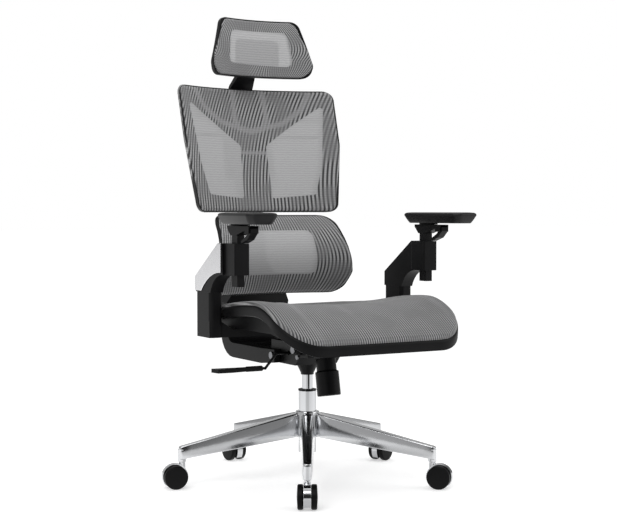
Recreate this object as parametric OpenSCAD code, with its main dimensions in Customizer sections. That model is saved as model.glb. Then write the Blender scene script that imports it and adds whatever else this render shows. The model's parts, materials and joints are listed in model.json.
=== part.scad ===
// High-back mesh chair on a five-leg swivel base.
// Z is up, the sitter faces -Y, and the origin is on the floor under the column.

/* [Base] */
// Distance from the column axis to each caster stem
stem_radius = 333; // [290:1:380]
// Height of a leg's top edge at the hub
leg_root_top = 178; // [165:1:190]
// Height of a leg's top edge at its tip
leg_tip_top = 105; // [98:1:115]
// Height of a leg's lower edge at the hub
leg_root_bottom = 118; // [112:1:130]
// Height of a leg's lower edge at its tip
leg_tip_bottom = 73; // [69:1:80]
// Width of a leg's lower edge at the hub
leg_root_w = 42; // [34:1:52]
// Width of a leg's lower edge at the tip
leg_tip_w = 24; // [20:1:30]
// Direction of the first leg, degrees about Z from the front
first_leg = -30; // [-36:1:36]
// Radius of the hub
hub_r = 31; // [29:0.5:36]

/* [Casters] */
// Radius of a caster wheel
wheel_r = 30; // [25:0.5:34]
// Width of one wheel of a pair
wheel_w = 16; // [12:0.5:20]
// Thickness of the bright centre body
caster_body_w = 17; // [12:0.5:22]
// Distance the axle trails behind the stem
caster_trail = 19; // [14:0.5:26]
// Radius of the stem
caster_stem_r = 5.5; // [5:0.5:7]
// Radius of the axle
caster_axle_r = 4; // [3:0.5:5]

/* [Gas lift] */
// Outer radius of the column tube
tube_r = 23; // [21:0.5:26]
// Wall of the column tube
tube_wall = 2; // [1.5:0.5:3]
// Height of the column tube's top
tube_top = 235; // [225:1:245]
// Height of the column tube's bottom
tube_bottom = 74; // [60:1:80]
// Radius of the gas cylinder
cylinder_r = 14; // [12:0.5:15]
// Radius of the piston rod
rod_r = 5; // [4:0.5:6]
// Radius of the release button
button_r = 3; // [2.5:0.5:4]

/* [Mechanism] */
// Half width of the tilt housing
housing_half_w = 62; // [55:1:70]
// Height of the housing's lower face
housing_bottom = 307; // [300:1:315]
// Height of the housing's upper edge
housing_top = 365; // [360:1:370]
// Wall of the housing
housing_wall = 4; // [3:0.5:6]
// Distance of the back shaft behind the column axis
back_shaft_y = 45; // [35:1:55]
// Height of the back shaft
back_shaft_z = 326; // [324:1:332]
// Distance of the seat shaft in front of the column axis
seat_shaft_y = 70; // [60:1:80]
// Height of the seat shaft
seat_shaft_z = 350; // [346:1:354]
// Radius of both shafts
shaft_r = 7; // [5:0.5:8]
// Radius of the tension knob's grip
knob_r = 30; // [24:1:34]
// Length of the tension knob's grip
knob_grip_l = 62; // [50:1:70]

/* [Seat] */
// Half width of the seat
seat_half_w = 258; // [240:1:275]
// Distance of the seat's front edge from the column axis
seat_front = 371; // [350:1:385]
// Distance of the seat's rear edge from the column axis
seat_rear = 150; // [130:1:160]
// Corner radius of the seat in plan
seat_corner = 95; // [60:1:110]
// Thickness of the stretched seat sheet and its edge roll
seat_sheet_t = 8; // [6:0.5:12]
// Height of the seat rim's side band
seat_rim_h = 27; // [20:1:32]
// Width of the seat rim in plan
seat_rim_w = 26; // [18:1:34]

/* [Arms] */
// Distance of each arm post from the centre plane
arm_x = 274; // [272:1:285]
// Distance of each arm post in front of the column axis
arm_post_y = 142; // [130:1:155]
// Height of the sleeve's top
sleeve_top = 623; // [610:1:640]
// Length of the sleeve
sleeve_l = 76; // [66:1:84]
// Thickness of the arm bracket across the chair
arm_t = 35; // [30:1:38]
// Height of the armrest's top
pad_top = 698; // [690:1:720]
// Length of an arm pad
pad_l = 218; // [190:1:250]
// Width of an arm pad
pad_w = 80; // [70:1:95]
// Thickness of an arm pad
pad_t = 28; // [20:1:32]
// Outward turn of each arm pad at rest, degrees
pad_toe = 6; // [0:1:12]

/* [Back] */
// Radius in plan of every back panel's curve
panel_r = 350; // [320:1:400]
// Half width of the upper back at its widest
back_half_w = 238; // [220:1:250]
// Height of the upper back's lower edge
back_low = 697; // [690:1:705]
// Height of the upper back's upper edge
back_high = 1041; // [1000:1:1050]
// Half width of the lumbar panel
lumbar_half_w = 205; // [180:1:220]
// Height of the lumbar panel's lower edge
lumbar_low = 475; // [465:1:490]
// Height of the lumbar panel's upper edge
lumbar_high = 690; // [670:1:692]
// Thickness of the mesh sheet with its edge roll
sheet_t = 4; // [3:0.5:6]
// Depth of a panel's frame behind the sheet
frame_d = 13; // [10:0.5:16]
// Width of a panel's frame seen from the front
frame_w = 18; // [12:1:26]
// Half width of the spine
spine_half_w = 34; // [26:1:42]

/* [Headrest] */
// Half width of the headrest along its lower part
head_half_w = 155; // [130:1:170]
// Half width of the headrest along its upper edge
head_top_half_w = 118; // [100:1:150]
// Height of the headrest's lower edge
head_low = 1068; // [1064:1:1080]
// Height of the headrest's upper edge
head_high = 1226; // [1200:1:1250]
// Radius in plan of the headrest's curve
head_r = 280; // [240:1:320]

/* [Clearances] */
// Radial clearance of running fits
run = 0.05; // [0.02:0.01:0.1]
// Clearance between faces that slide or lie against each other
slip = 0.3; // [0.2:0.05:0.5]

/* [Hidden] */
$fn = 64;

// Fixed details
leg_count = 5;
boss_r = 11;
boss_low = 67;
stem_top = leg_tip_top - 10;
wheel_gap = 0.5;
floor_t = 6;
cylinder_low = 130;
cylinder_high = housing_bottom + 17;
cylinder_bore_r = cylinder_r - 3;
bearing_t = 6;
knob_tilt = 11;
pin_r = 4;
screw_r = 4;
thin = 0.02;
far = 600;

// Derived places
sleeve_low = sleeve_top - sleeve_l;
sleeve_rear = -arm_post_y + 38;
sleeve_front = -arm_post_y - 22;
arm_in = arm_x - 9;
arm_out = arm_in + arm_t;
foot_y = -8;
foot_block_top = 500;
trim_t = 3;
post_w = 19;
post_d = 30;
post_low = sleeve_low - 28;
spread_low = sleeve_top + 20;
spread_high = pad_top - pad_t - 4;
spread_w = 27;
trigger_y = -arm_post_y - 74;
trigger_z = spread_high - 12;
swivel_y = -arm_post_y - 12;
swivel_r = 24;
swivel_t = 3.4;
swivel_pin_r = 6;
key_w = 20;
pad_travel = 30;
pad_shift = -44;
plate_low = 390;
plate_t = 6;
plate_half_w = 110;
bolt_x = [68, 96];
bolt_y = [foot_y - 20, foot_y + 18];
cheek_out = 81;
lever_y = -12;
lever_z = housing_bottom + 30;
lever_rod_r = 3.5;
// The bend and the end of the lever's rod, which the grip is bored for
lever_bend = [-126, lever_y + 8, lever_z - 37];
lever_end = [-160, lever_y + 12, lever_z - 37];
lever_pivot_x = -45;
lever_pin_r = 3;
knob_screw_r = 6;
seat_screw_x = [-139, -27];
seat_screw_z = 374;
spine_t = 24;
bar_window_w = 90;
back_axis_y = 266 - panel_r;
lumbar_axis_y = 156 - panel_r;
lumbar_z = 575;
lumbar_pin_y = 258;
head_axis_y = 276 - head_r;
head_pin_y = 316;
head_pin_z = head_low + 46;
neck_half_w = 35;

// A box from its lowest corner to its highest
module block(low, high) {
    translate(low)
        cube(high - low);
}

// A cylinder along X, centred on x = 0
module x_rod(y, z, r, length) {
    translate([-length / 2, y, z])
        rotate([0, 90, 0])
            cylinder(r = r, h = length);
}

// Extrudes a (y, z) outline along X between two x values
module side_slab(x_low, x_high) {
    translate([x_low, 0, 0])
        rotate([90, 0, 90])
            linear_extrude(height = x_high - x_low)
                children();
}

// Extrudes an (x, z) outline through the whole depth of the chair
module front_slab() {
    translate([0, far, 0])
        rotate([90, 0, 0])
            linear_extrude(height = 2 * far)
                children();
}

// Rectangle with true round corners, as a 2D outline
module round_rect(low, high, r) {
    translate([low[0] + r, low[1]])
        square([high[0] - low[0] - 2 * r, high[1] - low[1]]);
    translate([low[0], low[1] + r])
        square([high[0] - low[0], high[1] - low[1] - 2 * r]);
    for (x = [low[0] + r, high[0] - r], y = [low[1] + r, high[1] - r])
        translate([x, y])
            circle(r = r);
}

// Puts children on the leg with number i, which then points along -Y
module on_leg(i) {
    rotate([0, 0, first_leg + i * 360 / leg_count])
        children();
}

// ---------- Base ----------
// Thin cross section of a leg at distance d from the column axis
module leg_section(d, low, high, w_low, w_high) {
    translate([0, -d, 0])
        rotate([90, 0, 0])
            linear_extrude(height = thin)
                polygon([[-w_low / 2, low], [w_low / 2, low], [w_high / 2, high], [-w_high / 2, high]]);
}

module leg() {
    hull() {
        leg_section(hub_r - 12, leg_root_bottom, leg_root_top, leg_root_w, leg_root_w - 12);
        leg_section(stem_radius + 7, leg_tip_bottom, leg_tip_top, leg_tip_w, leg_tip_w - 4);
    }
}

module star_base() {
    color("silver")
        difference() {
            union() {
                translate([0, 0, leg_root_bottom - 4])
                    cylinder(r = hub_r, h = leg_root_top - leg_root_bottom + 8);
                for (i = [0 : leg_count - 1])
                    on_leg(i) {
                        leg();
                        translate([0, -stem_radius, boss_low])
                            cylinder(r = boss_r, h = leg_tip_top - boss_low);
                    }
            }
            translate([0, 0, 50])
                cylinder(r = tube_r + run, h = 200);
            for (i = [0 : leg_count - 1])
                on_leg(i)
                    translate([0, -stem_radius, boss_low - 1])
                        cylinder(r = caster_stem_r + run, h = stem_top - boss_low + 1);
        }
}

module gas_tube() {
    color("gainsboro")
        difference() {
            translate([0, 0, tube_bottom])
                cylinder(r = tube_r, h = tube_top - tube_bottom);
            translate([0, 0, tube_bottom + floor_t])
                cylinder(r = tube_r - tube_wall, h = tube_top);
            translate([0, 0, tube_bottom - 1])
                cylinder(r = rod_r + run, h = floor_t + 2);
        }
}

module guide_bush() {
    color("black")
        difference() {
            union() {
                translate([0, 0, tube_top])
                    cylinder(r = tube_r + 0.7, h = 4);
                translate([0, 0, tube_top - 30])
                    cylinder(r = tube_r - tube_wall - run, h = 31);
            }
            translate([0, 0, tube_top - 31])
                cylinder(r = cylinder_r + run, h = 40);
        }
}

module piston_rod() {
    head_low = 225;
    color("silver")
        difference() {
            union() {
                translate([0, 0, tube_bottom - 5])
                    cylinder(r = rod_r, h = head_low - tube_bottom + 6);
                translate([0, 0, tube_bottom + floor_t + bearing_t])
                    cylinder(r = rod_r + 3, h = 4);
                translate([0, 0, head_low])
                    cylinder(r = cylinder_bore_r - run, h = 12);
            }
            translate([0, 0, tube_bottom - 3])
                difference() {
                    cylinder(r = rod_r + 1, h = 2);
                    cylinder(r = rod_r - 1, h = 2);
                }
        }
}

module thrust_bearing() {
    color("dimgray")
        translate([0, 0, tube_bottom + floor_t])
            difference() {
                cylinder(r = rod_r + 9, h = bearing_t);
                translate([0, 0, -1])
                    cylinder(r = rod_r + run, h = bearing_t + 2);
            }
}

module retaining_clip() {
    color("gray")
        translate([0, 0, tube_bottom - 3 + run])
            difference() {
                cylinder(r = rod_r + 4, h = 2 - 2 * run);
                translate([0, 0, -1])
                    cylinder(r = rod_r - 1 + run, h = 4);
                translate([0, -2, -1])
                    cube([rod_r + 6, 4, 4]);
            }
}

module gas_cylinder() {
    color("silver")
        difference() {
            translate([0, 0, cylinder_low])
                cylinder(r = cylinder_r, h = cylinder_high - cylinder_low);
            translate([0, 0, cylinder_low - 1])
                cylinder(r = rod_r + run, h = 40);
            translate([0, 0, cylinder_low + 15])
                cylinder(r = cylinder_bore_r, h = 155);
            translate([0, 0, cylinder_low + 160])
                cylinder(r = button_r + run, h = 100);
        }
}

module release_button() {
    color("gold")
        translate([0, 0, cylinder_high - 22])
            cylinder(r = button_r, h = 31);
}

// ---------- Casters ----------
module caster_body(i) {
    body_r = wheel_r + 3.3;
    axle_l = caster_body_w + 2 * (wheel_gap + wheel_w - 4);
    color("silver")
        on_leg(i - 1) {
            difference() {
                union() {
                    x_rod(-stem_radius - caster_trail, wheel_r, body_r, caster_body_w);
                    translate([0, -stem_radius, wheel_r])
                        cylinder(r = 8.4, h = boss_low - wheel_r - slip);
                }
                block([-20, -far, -wheel_r], [20, 0, wheel_r / 3]);
            }
            translate([0, -stem_radius, wheel_r])
                cylinder(r = caster_stem_r, h = stem_top - wheel_r - 1);
            x_rod(-stem_radius - caster_trail, wheel_r, caster_axle_r, axle_l);
        }
}

// One wheel standing on the XY plane with a domed outer face at its top
module domed_wheel() {
    shoulder = 4;
    rotate_extrude()
        difference() {
            union() {
                square([wheel_r - shoulder, wheel_w - 1.5]);
                translate([0, shoulder])
                    square([wheel_r, wheel_w - 2 * shoulder - 1.5]);
                for (h = [shoulder, wheel_w - shoulder - 1.5])
                    translate([wheel_r - shoulder, h])
                        circle(r = shoulder);
                polygon([[0, 1], [wheel_r - shoulder, 1], [wheel_r - shoulder, wheel_w - 1.5], [0, wheel_w]]);
            }
            translate([-wheel_r, -wheel_r])
                square([wheel_r, 3 * wheel_r]);
            translate([-1, -1])
                square([caster_axle_r + run + 1, wheel_w - 2.5]);
        }
}

module caster_wheels(i) {
    inner = caster_body_w / 2 + wheel_gap;
    color("#222222")
        on_leg(i - 1)
            translate([0, -stem_radius - caster_trail, wheel_r])
                for (side = [-1, 1])
                    translate([side * inner, 0, 0])
                        rotate([0, side * 90, 0])
                            domed_wheel();
}

// ---------- Mechanism ----------
// Points of a ring of the spring's wire, at angle t round the shaft
function spring_ring(t, x0, pitch, mean_r, wire_r) = [
    for (k = [0 : 7])
        let (r = mean_r + wire_r * cos(k * 45))
            [x0 + pitch * t / 360 + wire_r * sin(k * 45), r * cos(t), r * sin(t)]
];

// Helical spring round the X axis
module spring_coil(x0, turns, pitch, mean_r, wire_r) {
    steps = turns * 16;
    rings = [for (s = [0 : steps]) spring_ring(s * 22.5, x0, pitch, mean_r, wire_r)];
    sides = [
        for (s = [0 : steps - 1], k = [0 : 7])
            [s * 8 + k, s * 8 + (k + 1) % 8, (s + 1) * 8 + (k + 1) % 8, (s + 1) * 8 + k]
    ];
    ends = [[for (k = [7 : -1 : 0]) k], [for (k = [0 : 7]) steps * 8 + k]];
    polyhedron(points = [for (ring = rings, p = ring) p], faces = concat(sides, ends));
}

// Outline of the housing from the side, shrunk by the amount inset
module housing_outline(inset) {
    low = housing_bottom + inset;
    front = -seat_shaft_y - 40 + inset;
    rear = back_shaft_y + 36 - inset;
    top = housing_top + 2 * inset;
    polygon([
        [front, top], [front, low + 26], [front + 44, low + 22], [-46, low],
        [46, low], [rear, low + 8], [rear, top]
    ]);
}

module mech_housing() {
    color("#2a2a2a")
        difference() {
            union() {
                difference() {
                    side_slab(-housing_half_w, housing_half_w)
                        housing_outline(0);
                    side_slab(housing_wall - housing_half_w, housing_half_w - housing_wall)
                        housing_outline(housing_wall);
                }
                translate([0, 0, housing_bottom - 26])
                    cylinder(r1 = cylinder_r + 3, r2 = 30, h = 27);
                translate([0, 0, housing_bottom - 30])
                    cylinder(r = cylinder_r + 3, h = 5);
                translate([0, 0, housing_bottom])
                    cylinder(r = cylinder_r + 6, h = 19);
                for (y = [lever_y - 15, lever_y + 15])
                    block(
                        [lever_pivot_x - 6, y - 2, housing_bottom + 2],
                        [lever_pivot_x + 6, y + 2, lever_z + 6]
                    );
            }
            translate([lever_pivot_x, lever_y, lever_z])
                rotate([90, 0, 0])
                    cylinder(r = lever_pin_r + run, h = 40, center = true);
            translate([0, 0, housing_bottom - 40])
                cylinder(r = cylinder_r + run, h = cylinder_high - housing_bottom + 40);
            translate([0, 0, housing_bottom])
                cylinder(r = button_r + 0.5, h = 40);
            x_rod(back_shaft_y, back_shaft_z, shaft_r + run, 3 * housing_half_w);
            x_rod(-seat_shaft_y, seat_shaft_z, shaft_r + run, 3 * housing_half_w);
            translate([-housing_half_w - 1, lever_y, lever_z])
                rotate([0, 90, 0])
                    cylinder(r = lever_rod_r + 2.5, h = housing_wall + 2);
            for (x = [-1, 1])
                x_rod(-seat_shaft_y + 12, back_shaft_z + 4, screw_r, 2 * housing_half_w + 2);
            on_knob_axis()
                cylinder(r = knob_screw_r + run, h = 40);
        }
}

module pivot_shafts() {
    color("silver")
        for (shaft = [[back_shaft_y, back_shaft_z], [-seat_shaft_y, seat_shaft_z]]) {
            x_rod(shaft[0], shaft[1], shaft_r, 2 * cheek_out + 1);
            for (side = [-1, 1])
                translate([side * (cheek_out + 2), 0, 0])
                    x_rod(shaft[0], shaft[1], shaft_r + 2.5, 3);
        }
}

module tension_spring() {
    turns = 5;
    pitch = 6;
    wire_r = 2.2;
    color("dimgray")
        for (side = [0, 1])
            mirror([side, 0, 0])
                translate([0, back_shaft_y, back_shaft_z])
                    spring_coil(24, turns, pitch, shaft_r + wire_r + slip, wire_r);
}

module mech_bolts() {
    color("silver")
        for (side = [-1, 1])
            translate([side * (housing_half_w - housing_wall / 2 + 1), 0, 0]) {
                x_rod(-seat_shaft_y + 12, back_shaft_z + 4, screw_r - run, housing_wall + 2);
                translate([side * (housing_wall / 2 + 0.5), 0, 0])
                    x_rod(-seat_shaft_y + 12, back_shaft_z + 4, screw_r + 2.5, 3);
            }
}

// Puts children on the knob's axis, with +Z towards the housing
module on_knob_axis() {
    translate([0, -seat_shaft_y - 23, housing_bottom + 20])
        rotate([-knob_tilt, 0, 0])
            children();
}

module tension_knob() {
    neck_l = 33;
    color("#1c1c1c")
        on_knob_axis() {
            translate([0, 0, -neck_l])
                cylinder(r = knob_r - 4.5, h = neck_l);
            translate([0, 0, -neck_l - knob_grip_l])
                cylinder(r = knob_r, h = knob_grip_l);
            cylinder(r = knob_screw_r, h = 26);
        }
}

// ---------- Release lever ----------
// A round rod from point a to point b
module rod_between(a, b, r) {
    d = b - a;
    translate(a)
        rotate([0, acos(d[2] / norm(d)), atan2(d[1], d[0])])
            cylinder(r = r, h = norm(d));
}

module lever_rod() {
    route = [
        [-18, lever_y, lever_z],
        [-98, lever_y, lever_z],
        lever_bend,
        lever_end
    ];
    color("#1c1c1c") {
        for (k = [0 : len(route) - 2])
            rod_between(route[k], route[k + 1], lever_rod_r);
        for (k = [1 : len(route) - 2])
            translate(route[k])
                sphere(r = lever_rod_r + 0.4);
        translate([lever_pivot_x, lever_y, lever_z])
            rotate([90, 0, 0])
                cylinder(r = lever_pin_r, h = 34, center = true);
        block([-22, lever_y - 4, lever_z - lever_rod_r], [6, 6, lever_z]);
    }
}

module lever_grip() {
    low = lever_end[2] - 5;
    y = lever_end[1];
    color("#1c1c1c")
        difference() {
            union() {
                translate([0, 0, low])
                    linear_extrude(height = 10)
                        polygon([
                            [-134, y - 6], [-134, y + 6], [-205, y + 8], [-268, y + 18],
                            [-262, y - 10], [-225, y - 14], [-180, y - 7]
                        ]);
                rod_between([-134, y, low + 5], [-178, y + 0.5, low + 5], 7);
            }
            rod_between(lever_bend, lever_end, lever_rod_r + run);
        }
}

// ---------- Seat plate and arm brackets ----------
module seat_plate() {
    lug_in = housing_half_w + 1.2;
    color("#2a2a2a")
        difference() {
            union() {
                block([-plate_half_w, -seat_shaft_y - 30, plate_low], [plate_half_w, 110, plate_low + plate_t]);
                for (side = [0, 1])
                    mirror([side, 0, 0])
                        side_slab(lug_in, cheek_out) {
                            translate([-seat_shaft_y, seat_shaft_z])
                                circle(r = shaft_r + 7);
                            translate([-seat_shaft_y - shaft_r - 7, seat_shaft_z])
                                square([2 * shaft_r + 14, plate_low - seat_shaft_z + 1]);
                        }
            }
            x_rod(-seat_shaft_y, seat_shaft_z, shaft_r + run, 4 * housing_half_w);
            for (side = [-1, 1], x = bolt_x, y = bolt_y)
                translate([side * x, y, plate_low - 1])
                    cylinder(r = screw_r, h = 20);
        }
}

module arm_foot(side) {
    tongue_top = plate_low + plate_t + 8;
    color("#232323")
        mirror([side < 0 ? 1 : 0, 0, 0])
            difference() {
                union() {
                    intersection() {
                        front_slab()
                            polygon([
                                [56, plate_low + plate_t], [plate_half_w + 1, plate_low + plate_t],
                                [plate_half_w + 8, plate_low - 2], [arm_out, plate_low - 2],
                                [arm_out, foot_block_top - 70], [arm_in, foot_block_top - 74],
                                [arm_in - 27, tongue_top + 3], [arm_in - 100, tongue_top], [56, tongue_top]
                            ]);
                        block([0, foot_y - 30, 0], [far, foot_y + 30, far]);
                    }
                    translate([0, 0, plate_low - 2])
                        linear_extrude(height = foot_block_top - plate_low + 2)
                            round_rect([arm_in, foot_y - 34], [arm_out, foot_y + 48], 10);
                }
                for (x = bolt_x, y = bolt_y)
                    translate([x, y, plate_low - 1])
                        cylinder(r = screw_r, h = 30);
            }
}

// Side outline of the arm upright, from its foot to the sleeve's rear
module upright_outline() {
    arc_c = [sleeve_rear - 6, foot_block_top - 25];
    arc_r = sleeve_low - arc_c[1];
    polygon(concat(
        [
            [foot_y + 48, foot_block_top], [foot_y + 48, foot_block_top + 38],
            [sleeve_rear + 16, sleeve_top], [sleeve_rear - 4, sleeve_top], [sleeve_rear - 6, sleeve_low]
        ],
        [for (t = [80 : -10 : 30]) arc_c + arc_r * [cos(t), sin(t)]],
        [[arc_c[0] + sqrt(pow(arc_r, 2) - pow(foot_block_top - arc_c[1], 2)), foot_block_top]]
    ));
}

module arm_upright(side) {
    color("#262626")
        mirror([side < 0 ? 1 : 0, 0, 0])
            difference() {
                union() {
                    side_slab(arm_in, arm_out)
                        upright_outline();
                    translate([0, 0, sleeve_low])
                        linear_extrude(height = sleeve_l)
                            round_rect([arm_x - 20, sleeve_front], [arm_x + 20, sleeve_rear], 3);
                }
                translate([arm_x, -arm_post_y, (sleeve_low + sleeve_top) / 2])
                    cube([post_w + 2 * slip, post_d + 2 * slip, 2 * sleeve_l], center = true);
            }
}

// Outline of the trim from the side, with its lower edge on an arc
module trim_outline() {
    edge_drop = 71;
    foot_reach = 110;
    arc_r = (pow(foot_reach, 2) + pow(edge_drop - 22, 2)) / (2 * (edge_drop - 22));
    arc_c = [sleeve_rear, sleeve_top - edge_drop - arc_r];
    last = asin((foot_block_top + 3 - arc_c[1]) / arc_r);
    polygon(concat(
        [
            [foot_y + 48, foot_block_top + 3], [foot_y + 48, foot_block_top + 38],
            [sleeve_rear + 16, sleeve_top], [sleeve_rear + slip, sleeve_top]
        ],
        [for (t = [0 : 6]) arc_c + arc_r * [cos(89.8 - t * (89.8 - last) / 6), sin(89.8 - t * (89.8 - last) / 6)]]
    ));
}

module arm_trim(side) {
    color("whitesmoke")
        mirror([side < 0 ? 1 : 0, 0, 0])
            side_slab(arm_out, arm_out + trim_t)
                trim_outline();
}

module bracket_bolts() {
    low = plate_low + plate_t + 8;
    color("gray")
        for (side = [-1, 1], x = bolt_x, y = bolt_y)
            translate([side * x, y, plate_low]) {
                cylinder(r = screw_r - run, h = low - plate_low + 1);
                translate([0, 0, low - plate_low])
                    cylinder(r = screw_r + 3, h = 3);
            }
}

// ---------- Arm posts and pads ----------
// Side outline of the spread head on top of a post
module spread_outline() {
    y = -arm_post_y;
    polygon([
        [y + post_d / 2, spread_low], [y + 32, spread_high - 6], [y + 32, spread_high],
        [y - 62, spread_high], [y - 62, spread_high - 10], [y - post_d / 2, spread_low]
    ]);
}

module arm_post(side) {
    color("#2c2c2c")
        mirror([side < 0 ? 1 : 0, 0, 0])
            difference() {
                union() {
                    translate([arm_x - post_w / 2, -arm_post_y - post_d / 2, post_low])
                        cube([post_w, post_d, spread_low - post_low + 2]);
                    side_slab(arm_x - spread_w / 2, arm_x + spread_w / 2)
                        spread_outline();
                    for (x = [-1, 1])
                        translate([x * (spread_w / 2 - 1.5), 0, 0])
                            side_slab(arm_x - 1.5, arm_x + 1.5)
                                translate([trigger_y - 7, trigger_z - 6])
                                    square([22, spread_high - trigger_z + 6]);
                    translate([arm_x, 0, 0])
                        x_rod(trigger_y, trigger_z, pin_r - 1, spread_w);
                }
                translate([arm_x, swivel_y, spread_high - 16])
                    cylinder(r = swivel_pin_r + run, h = 30);
            }
}

module arm_trigger(side) {
    blade_w = spread_w - 7.4;
    color("#161616")
        mirror([side < 0 ? 1 : 0, 0, 0])
            difference() {
                side_slab(arm_x - blade_w / 2, arm_x + blade_w / 2) {
                    translate([trigger_y, trigger_z])
                        circle(r = 6);
                    polygon([
                        [trigger_y - 12, trigger_z + 6], [trigger_y - 12, trigger_z - 4],
                        [trigger_y + 8, trigger_z - 21], [trigger_y + 38, trigger_z - 30],
                        [trigger_y + 40, trigger_z - 25], [trigger_y + 14, trigger_z - 12],
                        [trigger_y + 2, trigger_z - 2], [trigger_y, trigger_z + 6]
                    ]);
                }
                translate([arm_x, 0, 0])
                    x_rod(trigger_y, trigger_z, pin_r - 1 + run, 2 * spread_w);
            }
}

module pad_swivel(side) {
    color("#1c1c1c")
        mirror([side < 0 ? 1 : 0, 0, 0])
            translate([arm_x, swivel_y, 0])
                rotate([0, 0, pad_toe]) {
                    translate([0, 0, spread_high + slip])
                        cylinder(r = swivel_r, h = swivel_t);
                    translate([0, 0, spread_high - 15])
                        cylinder(r = swivel_pin_r, h = 17);
                    translate([-key_w / 2, -20, spread_high + slip + swivel_t - 1])
                        cube([key_w, 40, 6]);
                }
}

// Plan outline of an arm pad with cut corners, shrunk by inset
module pad_outline(inset) {
    w = pad_w / 2 - inset;
    l = pad_l / 2 - inset;
    cut = 14;
    polygon([
        [-w, -l + cut], [-w + cut, -l], [w - cut, -l], [w, -l + cut],
        [w, l - cut], [w - cut, l], [-w + cut, l], [-w, l - cut]
    ]);
}

module arm_pad(side) {
    low = pad_top - pad_t;
    color("#202020")
        mirror([side < 0 ? 1 : 0, 0, 0])
            translate([arm_x, swivel_y, 0])
                rotate([0, 0, pad_toe])
                    translate([0, pad_shift, 0])
                        difference() {
                            hull() {
                                translate([0, 0, pad_top - thin])
                                    linear_extrude(height = thin)
                                        pad_outline(3);
                                translate([0, 0, pad_top - 8])
                                    linear_extrude(height = thin)
                                        pad_outline(0);
                                translate([0, 0, low])
                                    linear_extrude(height = thin)
                                        pad_outline(11);
                            }
                            translate([-key_w / 2 - slip, -pad_shift - 20 - pad_travel - 1, low - 1])
                                cube([key_w + 2 * slip, 40 + 2 * pad_travel + 2, 8]);
                        }
}

// ---------- Seat ----------
// Height of the seat's top surface over the whole depth, for a depth coordinate y
function seat_top(y) =
    let (peak = 484, rear_top = 452, front_top = 396, crest = -190)
        y > crest
            ? peak - (peak - rear_top) * (1 - cos(180 * (y - crest) / (seat_rear - crest))) / 2
            : peak - (peak - front_top) * (1 - cos(90 * (crest - y) / (seat_front + crest)));

// Band under the seat's top surface, between two depths below it
module seat_band(upper, lower) {
    steps = 18;
    ys = [for (k = [0 : steps]) seat_rear - k * (seat_rear + seat_front) / steps];
    side_slab(-far, far)
        polygon(concat(
            [for (y = ys) [y, seat_top(y) - upper]],
            [for (k = [steps : -1 : 0]) [ys[k], seat_top(ys[k]) - lower]]
        ));
}

// Plan of the seat, shrunk by inset, as a tall block
module seat_plan(inset) {
    translate([0, 0, 200])
        linear_extrude(height = 500)
            round_rect(
                [-seat_half_w + inset, -seat_front + inset],
                [seat_half_w - inset, seat_rear - inset],
                seat_corner - inset
            );
}

module seat_mesh() {
    color("gray")
        intersection() {
            seat_band(0, seat_sheet_t);
            seat_plan(0);
        }
}

module seat_frame() {
    low = seat_sheet_t + slip + seat_rim_h;
    color("#2c2c2c")
        difference() {
            intersection() {
                seat_band(seat_sheet_t + slip, low);
                seat_plan(1);
            }
            seat_plan(seat_rim_w);
            for (x = seat_screw_x)
                translate([x, -seat_front, seat_screw_z])
                    rotate([90, 0, 0])
                        cylinder(r = screw_r, h = 24, center = true);
        }
}

// Outline of the under-seat pan from the side
module pan_outline(inset) {
    low = plate_low + plate_t + 14 + inset;
    drop = seat_sheet_t + slip + seat_rim_h - 14 + inset;
    rear = seat_rear - 32 - inset;
    front = -seat_front + seat_rim_w + 6 + inset;
    polygon([
        [rear - 14, low], [rear, seat_top(rear) - drop], [-60, seat_top(-60) - drop],
        [-200, seat_top(-200) - drop], [-280, seat_top(-280) - drop], [front, seat_top(front) - drop],
        [front, seat_top(front) - drop - 6 + inset], [-230, low]
    ]);
}

module seat_pan() {
    wall = 3;
    rib_x = plate_half_w - 20;
    color("#181818") {
        difference() {
            intersection() {
                side_slab(-far, far)
                    pan_outline(0);
                seat_plan(seat_rim_w + slip);
            }
            intersection() {
                translate([0, 0, wall])
                    side_slab(-far, far)
                        pan_outline(wall);
                seat_plan(seat_rim_w + slip + wall);
            }
            for (x = [-1, 1], y = [-150, 60])
                block([x * 120 - 40, y - 28, 300], [x * 120 + 40, y + 28, 460]);
        }
        for (side = [-1, 1])
            translate([side * rib_x, 0, 0])
                block([-6, -120, plate_low + plate_t + slip], [6, foot_y - 34, plate_low + plate_t + 15]);
    }
}

module seat_screws() {
    color("black")
        for (x = seat_screw_x)
            translate([x, -seat_front + 3, seat_screw_z])
                rotate([-90, 0, 0])
                    cylinder(r = screw_r - run, h = 9);
}

// ---------- Back carrier bar and spine ----------
// Outline of the bar and spine from the side
module yoke_outline() {
    bend_r = 72;
    bar_t = 40;
    bend_y = back_shaft_y + 225;
    bar_low = back_shaft_z - bar_t / 2;
    polygon(concat(
        [[back_shaft_y - 14, bar_low + 2], [back_shaft_y + 60, bar_low - 6]],
        [for (t = [-90 : 15 : 0]) [bend_y, bar_low - 6 + bend_r] + bend_r * [cos(t), sin(t)]],
        [
            [bend_y + bend_r - 16, 470], [spine_y(600) + spine_t, 600], [spine_y(734) + spine_t, 734],
            [spine_y(900) + spine_t, 900], [spine_y(900), 900], [spine_y(734), 734],
            [spine_y(600), 600], [spine_y(500) - 8, 470]
        ],
        [
            for (t = [0 : -15 : -90])
                [bend_y, bar_low - 6 + bend_r] + (bend_r - bar_t) * [cos(t), sin(t)]
        ],
        [[back_shaft_y + 60, bar_low - 6 + bar_t], [back_shaft_y - 14, bar_low + bar_t - 4]]
    ));
}

// Depth of the spine's front face at height z
function spine_y(z) = back_axis_y + curve_r(z) + sheet_t + frame_d + 26;

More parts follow.
